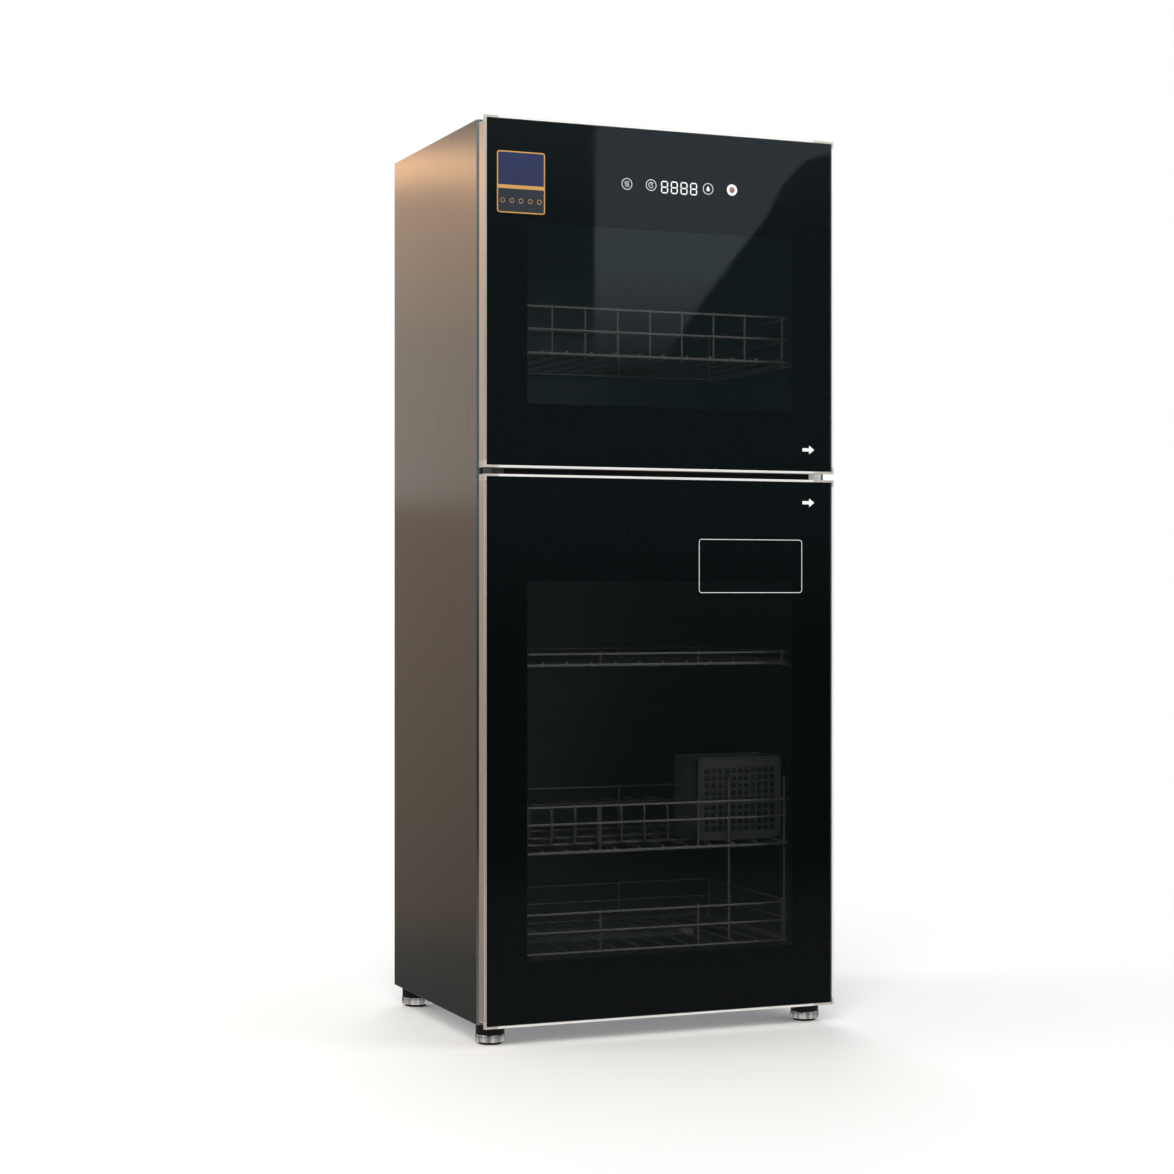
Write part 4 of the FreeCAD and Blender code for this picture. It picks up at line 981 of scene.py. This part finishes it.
def lattice_wall(bm, axis, level, thickness, start, end, low, high, columns):
    """One wall of the basket: a frame of solid bands filled with upright and level ribs."""
    rib = HOLE_PITCH - HOLE_SIZE
    first = (start + end - columns * HOLE_PITCH) / 2
    bottom = (low + high - HOLE_ROWS * HOLE_PITCH) / 2

    def bar(along_low, along_high, z_low, z_high, inset):
        corner_low = [0, 0, z_low]
        corner_high = [0, 0, z_high]
        corner_low[axis], corner_high[axis] = along_low, along_high
        other = 1 - axis
        corner_low[other], corner_high[other] = sorted((level + inset, level + thickness - inset))
        add_box(bm, corner_low, corner_high, RIB_EDGE)

    bar(start, first + rib / 2, low, high, 0)
    bar(first + columns * HOLE_PITCH - rib / 2, end, low, high, 0)
    bar(start, end, low, bottom + rib / 2, BAND_INSET)
    bar(start, end, bottom + HOLE_ROWS * HOLE_PITCH - rib / 2, high, BAND_INSET)
    for column in range(1, columns):
        x = first + column * HOLE_PITCH
        bar(x - rib / 2, x + rib / 2, low, high, UPRIGHT_INSET)
    for row in range(1, HOLE_ROWS):
        z = bottom + row * HOLE_PITCH
        bar(start, end, z - rib / 2, z + rib / 2, LEVEL_INSET)


def basket():
    """The lattice cutlery basket with its thick rim."""
    low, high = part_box("cutlery_basket")
    bm = bmesh.new()
    left, front, right, rear = inside(low.x, low.y, high.x, high.y, BASKET_INSET)
    top = high.z - BASKET_RIM
    for level in (front, rear - BASKET_WALL):
        lattice_wall(bm, 0, level, BASKET_WALL, left, right, low.z, top, FRONT_COLUMNS)
    for level in (left, right - BASKET_WALL):
        lattice_wall(bm, 1, level, BASKET_WALL, front, rear, low.z, top, SIDE_COLUMNS)
    add_box(bm, (left, front, low.z), (right, rear, low.z + BASKET_WALL), BASKET_EDGE)
    add_loop(bm, inside(left, front, right, rear, RIM_INSET), top + RIM_RISE, RIM_CORNER, RIM_WIRE)
    new_piece("lattice_basket", "cutlery_basket", "basket_plastic", bm, ["cutlery_basket"])


SLOT_HEIGHT = 4 * MM
SLOT_WIDTH = 6 * MM
SLOT_PITCH = 12.5 * MM
STRIP_EDGE = 0.2 * MM
RUNG_INSET = 0.1 * MM


def shelf_strips():
    """Upright strips on the side walls, with slots that the runners hook into."""
    bm = bmesh.new()
    for low, high in solids("shelf_strips"):
        front = low.y + (high.y - low.y - SLOT_WIDTH) / 2
        rear = high.y - (high.y - low.y - SLOT_WIDTH) / 2
        add_box(bm, low, (high.x, front, high.z), STRIP_EDGE)
        add_box(bm, (low.x, rear, low.z), high, STRIP_EDGE)
        count = int((high.z - low.z) / SLOT_PITCH)
        start = (low.z + high.z - count * SLOT_PITCH) / 2
        for number in range(count + 1):
            rung_low = start + (number - 1) * SLOT_PITCH + SLOT_HEIGHT if number else low.z
            rung_high = start + number * SLOT_PITCH if number < count else high.z
            corner_low = (low.x + RUNG_INSET, front - RUNG_INSET, rung_low)
            add_box(bm, corner_low, (high.x - RUNG_INSET, rear + RUNG_INSET, rung_high))
    new_piece("slotted_strips", "cabinet", "liner_steel", bm, ["shelf_strips"])


COIL_TURN = 5 * MM
COIL_WIRE = 0.5 * MM
COIL_STEPS = 12
COIL_END = 4 * MM
TUBE_WALL = 2.4 * MM


def heater_coil():
    """The wound wire inside the quartz tube."""
    low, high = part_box("heater_tube")
    middle = (low.y + high.y) / 2, (low.z + high.z) / 2
    radius = (high.z - low.z) / 2 - TUBE_WALL
    turns = int((high.x - low.x - 2 * COIL_END) / COIL_TURN)
    path = []
    for step in range(turns * COIL_STEPS):
        x = low.x + COIL_END + COIL_TURN * step / COIL_STEPS
        path.append((x, *polar(middle, radius, 2 * math.pi * step / COIL_STEPS)))
    bm = bmesh.new()
    add_tube(bm, path, COIL_WIRE, sides=6)
    new_piece("heater_coil", "cabinet", "bolt_steel", bm)


CAP_LENGTH = 9 * MM
CAP_INSET = 0.1 * MM
CAP_LIP = 0.8 * MM


def lamp_caps():
    """Metal caps on the ends of the lamp tube."""
    low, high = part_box("uv_lamp_tube")
    centre = (0, (low.y + high.y) / 2, (low.z + high.z) / 2)
    radius = (high.z - low.z) / 2 - CAP_INSET
    bm = bmesh.new()
    for start, end in ((low.x, low.x + CAP_LENGTH), (high.x - CAP_LENGTH, high.x)):
        profile = [(0, start), (radius, start), (radius, end), (radius - CAP_LIP, end), (0, end)]
        add_lathe(bm, profile, centre, axis=0, sides=48)
    new_piece("lamp_caps", "cabinet", "bright_aluminium", bm)


# Small fittings

SCREW_RADIUS = 3.4 * MM
# The pan head and the cross on it, as shares of the head's radius.
SCREW_HEAD = ((0, 0), (1, 0), (1, 0.25), (0.9, 0.45), (0.6, 0.6), (0.52, 0.6))
CROSS_ARM = 0.5
CROSS_HALF = 0.11
CROSS_HEIGHTS = (0.56, 0.64)
SCREW_ROWS = 5
SCREW_SIDE_INSET = 4.5 * MM
SCREW_ROW_INSET = 25 * MM
SCREW_END_INSET = 6 * MM


def add_screw(bm, spot):
    """A pan head with a cross on it, seated at the spot and facing backward."""
    head = bmesh.new()
    profile = [(SCREW_RADIUS * across, SCREW_RADIUS * up) for across, up in SCREW_HEAD]
    add_lathe(head, profile, (0, 0, 0), sides=24)
    bottom, top = (SCREW_RADIUS * height for height in CROSS_HEIGHTS)
    arm, half = CROSS_ARM * SCREW_RADIUS, CROSS_HALF * SCREW_RADIUS
    for x, y in ((arm, half), (half, arm)):
        add_box(head, (-x, -y, bottom), (x, y, top))
    turn = Vector((0, 0, 1)).rotation_difference(Vector((0, 1, 0))).to_matrix().to_4x4()
    bmesh.ops.transform(head, matrix=Matrix.Translation(spot) @ turn, verts=head.verts)
    mesh = bpy.data.meshes.new("screw")
    head.to_mesh(mesh)
    head.free()
    bm.from_mesh(mesh)
    bpy.data.meshes.remove(mesh)


def back_screws():
    """Rows of screws down both sides of the back panel, and three at its top and bottom."""
    low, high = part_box("back_panel")
    bm = bmesh.new()
    span = high.z - low.z - 2 * SCREW_ROW_INSET
    for x in (low.x + SCREW_SIDE_INSET, high.x - SCREW_SIDE_INSET):
        for row in range(SCREW_ROWS):
            z = low.z + SCREW_ROW_INSET + span * row / (SCREW_ROWS - 1)
            add_screw(bm, (x, high.y, z))
    for z in (low.z + SCREW_END_INSET, high.z - SCREW_END_INSET):
        for x in (low.x / 2, 0, high.x / 2):
            add_screw(bm, (x, high.y, z))
    new_piece("back_screws", "cabinet", "bolt_steel", bm)


# Studio

WHITE = (1, 1, 1)
COOL_LIGHT = (0.97, 0.985, 1.0)
SOFT_STRENGTH = 0.55
# The reflected room's tones by height: 0 is straight down, 0.5 level and 1 straight up.
ROOM_TONES = (
    (0.0, (0.75, 0.75, 0.75)),
    (0.30, (0.60, 0.60, 0.60)),
    (0.415, (0.24, 0.24, 0.24)),
    (0.434, (0.20, 0.20, 0.20)),
    (0.445, (0.04, 0.04, 0.04)),
    (0.49, (0.05, 0.05, 0.05)),
    (0.52, (0.15, 0.22, 0.23)),
    (0.575, (0.18, 0.26, 0.28)),
    (0.595, (0.40, 0.50, 0.54)),
    (0.66, (0.52, 0.60, 0.62)),
    (1.0, (0.9, 0.9, 0.9)),
)
# The wall at the left that the side panel reflects: heights with their colours.
WARM_WALL = (
    (-1.60, (0.05, 0.05, 0.05)),
    (-1.02, (0.07, 0.075, 0.072)),
    (-0.80, (0.135, 0.11, 0.09)),
    (0.84, (0.22, 0.18, 0.15)),
    (0.88, (0.35, 0.31, 0.275)),
    (1.50, (0.37, 0.325, 0.28)),
    (2.14, (0.64, 0.45, 0.33)),
    (2.26, (2.00, 1.26, 0.73)),
    (2.35, (0.32, 0.29, 0.27)),
    (2.80, (0.15, 0.15, 0.15)),
)


def emptied(owner):
    """The owner's node tree, without the nodes that it starts with."""
    owner.use_nodes = True
    owner.node_tree.nodes.clear()
    return owner.node_tree


def pick(tree, share, first, second):
    """The first shader, or the second one where the share is 1."""
    node = new_node(tree, "MixShader")
    tree.links.new(share, node.inputs["Fac"])
    tree.links.new(first, node.inputs[1])
    tree.links.new(second, node.inputs[2])
    return node.outputs["Shader"]


def tones_by_height(tree, coordinates, low, high, tones):
    """Colour that runs through the tones, (share, colour) pairs, as the height goes from low to high."""
    place = new_node(tree, "TexCoord")
    split = new_node(tree, "SeparateXYZ")
    spread = new_node(tree, "MapRange", {"From Min": low, "From Max": high})
    ramp = new_node(tree, "ValToRGB")
    stops = ramp.color_ramp.elements
    stops[0].color = (*tones[0][1], 1)
    stops[-1].color = (*tones[-1][1], 1)
    for share, tone in tones[1:-1]:
        stops.new(share).color = (*tone, 1)
    links = tree.links
    links.new(place.outputs[coordinates], split.inputs["Vector"])
    links.new(split.outputs["Z"], spread.inputs["Value"])
    links.new(spread.outputs["Result"], ramp.inputs["Fac"])
    return ramp.outputs["Color"]


def studio_world():
    """White behind the object. Reflections see a dim room that is lighter above than below."""
    world = bpy.data.worlds.new("studio")
    SCENE.world = world
    tree = emptied(world)
    white = new_node(tree, "Background", {"Color": (*WHITE, 1)})
    soft = new_node(tree, "Background", {"Color": (*COOL_LIGHT, 1), "Strength": SOFT_STRENGTH})
    room = new_node(tree, "Background")
    tree.links.new(tones_by_height(tree, "Generated", -1, 1, ROOM_TONES), room.inputs["Color"])
    path = new_node(tree, "LightPath").outputs
    seen = new_node(tree, "Math")
    seen.operation = "MAXIMUM"
    tree.links.new(path["Is Camera Ray"], seen.inputs[0])
    tree.links.new(path["Is Transmission Ray"], seen.inputs[1])
    lit = pick(tree, path["Is Glossy Ray"], soft.outputs["Background"], room.outputs["Background"])
    surface = pick(tree, seen.outputs["Value"], lit, white.outputs["Background"])
    tree.links.new(surface, new_node(tree, "OutputWorld").inputs["Surface"])


FLOOR_REACH = 8
FLOOR_TONE = (0.93, 0.93, 0.93)
# The floor turns white between these distances from the object's middle.
FADE_START = 0.35
FADE_END = 1.3


def floor():
    """A pale floor that fades into the white behind it. Reflections look past it."""
    bm = bmesh.new()
    corners = rectangle(-FLOOR_REACH, -FLOOR_REACH, FLOOR_REACH, FLOOR_REACH)
    bm.faces.new([bm.verts.new((x, y, 0)) for x, y in corners])
    plane = new_object("floor", bm)
    material = bpy.data.materials.new("floor")
    plane.data.materials.append(material)
    tree = emptied(material)
    matt = new_node(tree, "BsdfDiffuse", {"Color": (*FLOOR_TONE, 1)})
    glow = new_node(tree, "Emission")
    clear = new_node(tree, "BsdfTransparent")
    coordinates = new_node(tree, "TexCoord")
    distance = new_node(tree, "VectorMath")
    distance.operation = "LENGTH"
    fade = new_node(tree, "MapRange", {"From Min": FADE_START, "From Max": FADE_END})
    fade.interpolation_type = "SMOOTHSTEP"
    tree.links.new(coordinates.outputs["Object"], distance.inputs[0])
    tree.links.new(distance.outputs["Value"], fade.inputs["Value"])
    faded = pick(tree, fade.outputs["Result"], matt.outputs["BSDF"], glow.outputs["Emission"])
    path = new_node(tree, "LightPath").outputs
    surface = pick(tree, path["Is Glossy Ray"], faded, clear.outputs["BSDF"])
    tree.links.new(surface, new_node(tree, "OutputMaterial").inputs["Surface"])


# The pale shape that the upper door reflects, in front of the cabinet: an upright edge on the left and a
# slanting one on the right. It fades out downwards.
PALE_SHAPE = (
    (1.006, 1.0),
    (1.15, 1.0),
    (1.284, 1.187),
    (1.399, 1.332),
    (1.443, 1.384),
    (1.488, 1.467),
    (1.555, 1.533),
    (1.62, 1.55),
    (1.66, 1.55),
    (1.66, 1.9),
    (1.006, 1.9),
)
PALE_TONES = (
    (1.0, (0.12, 0.12, 0.12)),
    (1.10, (0.60, 0.70, 0.78)),
    (1.25, (1.30, 1.58, 1.80)),
    (1.9, (1.45, 1.75, 2.0)),
)

# Soft lamps: name, place, width and height, power and colour. They all face the cabinet's middle.
LAMPS = (
    ("key", (-1.6, -3.2, 2.6), (2.0, 2.0), 95, (1, 0.95, 0.88)),
    ("fill", (3.0, -2.2, 1.4), (2.0, 2.5), 35, COOL_LIGHT),
    ("back", (1.0, 3.2, 2.4), (2.0, 2.0), 60, WHITE),
    ("left", (-3.2, 0.8, 1.6), (1.6, 2.2), 40, (1, 0.93, 0.86)),
)
LAMP_TARGET = Vector((0, 0, 0.5))


def lights():
    for name, place, size, power, colour in LAMPS:
        data = bpy.data.lights.new(name, "AREA")
        data.shape = "RECTANGLE"
        data.size, data.size_y = size
        data.energy = power
        data.color = colour
        lamp = bpy.data.objects.new(name, data)
        lamp.location = place
        lamp.rotation_euler = (LAMP_TARGET - Vector(place)).to_track_quat("-Z", "Y").to_euler()
        lamp.visible_glossy = False
        SCENE.collection.objects.link(lamp)


def reflection_card(name, corners, tones):
    """A glowing card that only reflections see. Its colour runs through the tones by height."""
    bm = bmesh.new()
    bm.faces.new([bm.verts.new(corner) for corner in corners])
    card = new_object(name, bm)
    card.visible_camera = False
    card.visible_diffuse = False
    card.visible_shadow = False
    card.visible_transmission = False
    material = bpy.data.materials.new(name)
    card.data.materials.append(material)
    tree = emptied(material)
    glow = new_node(tree, "Emission")
    low, high = tones[0][0], tones[-1][0]
    shares = [((height - low) / (high - low), tone) for height, tone in tones]
    tree.links.new(tones_by_height(tree, "Object", low, high, shares), glow.inputs["Color"])
    tree.links.new(glow.outputs["Emission"], new_node(tree, "OutputMaterial").inputs["Surface"])


# The warm wall's left and right ends in x and y, and the y of the pale shape.
WALL_ENDS = ((-6.2, 5.18), (-0.65, 7.46))
PALE_DEPTH = -2.8


def reflection_cards():
    """The warm wall that the side panel and the stile reflect, and the pale shape in the upper door."""
    left, right = WALL_ENDS
    low, high = WARM_WALL[0][0], WARM_WALL[-1][0]
    corners = [(*left, low), (*right, low), (*right, high), (*left, high)]
    reflection_card("warm_wall", corners, WARM_WALL)
    reflection_card("pale_shape", [(x, PALE_DEPTH, z) for x, z in PALE_SHAPE], PALE_TONES)


CAMERA_FROM_CORNER = (-0.89106, -2.4698, 0.479)
CAMERA_LENS = 73.67
SENSOR_WIDTH = 36
CAMERA_TURN = (90.098, 0, -22.28)


def camera():
    data = bpy.data.cameras.new("camera")
    data.lens = CAMERA_LENS
    data.sensor_width = SENSOR_WIDTH
    eye = bpy.data.objects.new("camera", data)
    eye.location = CORNER + Vector(CAMERA_FROM_CORNER)
    eye.rotation_euler = [math.radians(angle) for angle in CAMERA_TURN]
    SCENE.collection.objects.link(eye)
    SCENE.camera = eye


paint_frame()
panes()
seals()
touch_marks()
power_mark()
digits()
arrows()
label_box()
sticker()
side_panels()
feet()
for rack_name in RAIL_RISES:
    rack(rack_name)
uprights()
basket()
shelf_strips()
heater_coil()
lamp_caps()
back_screws()
studio_world()
floor()
lights()
reflection_cards()
camera()
SCENE.view_settings.view_transform = "Standard"
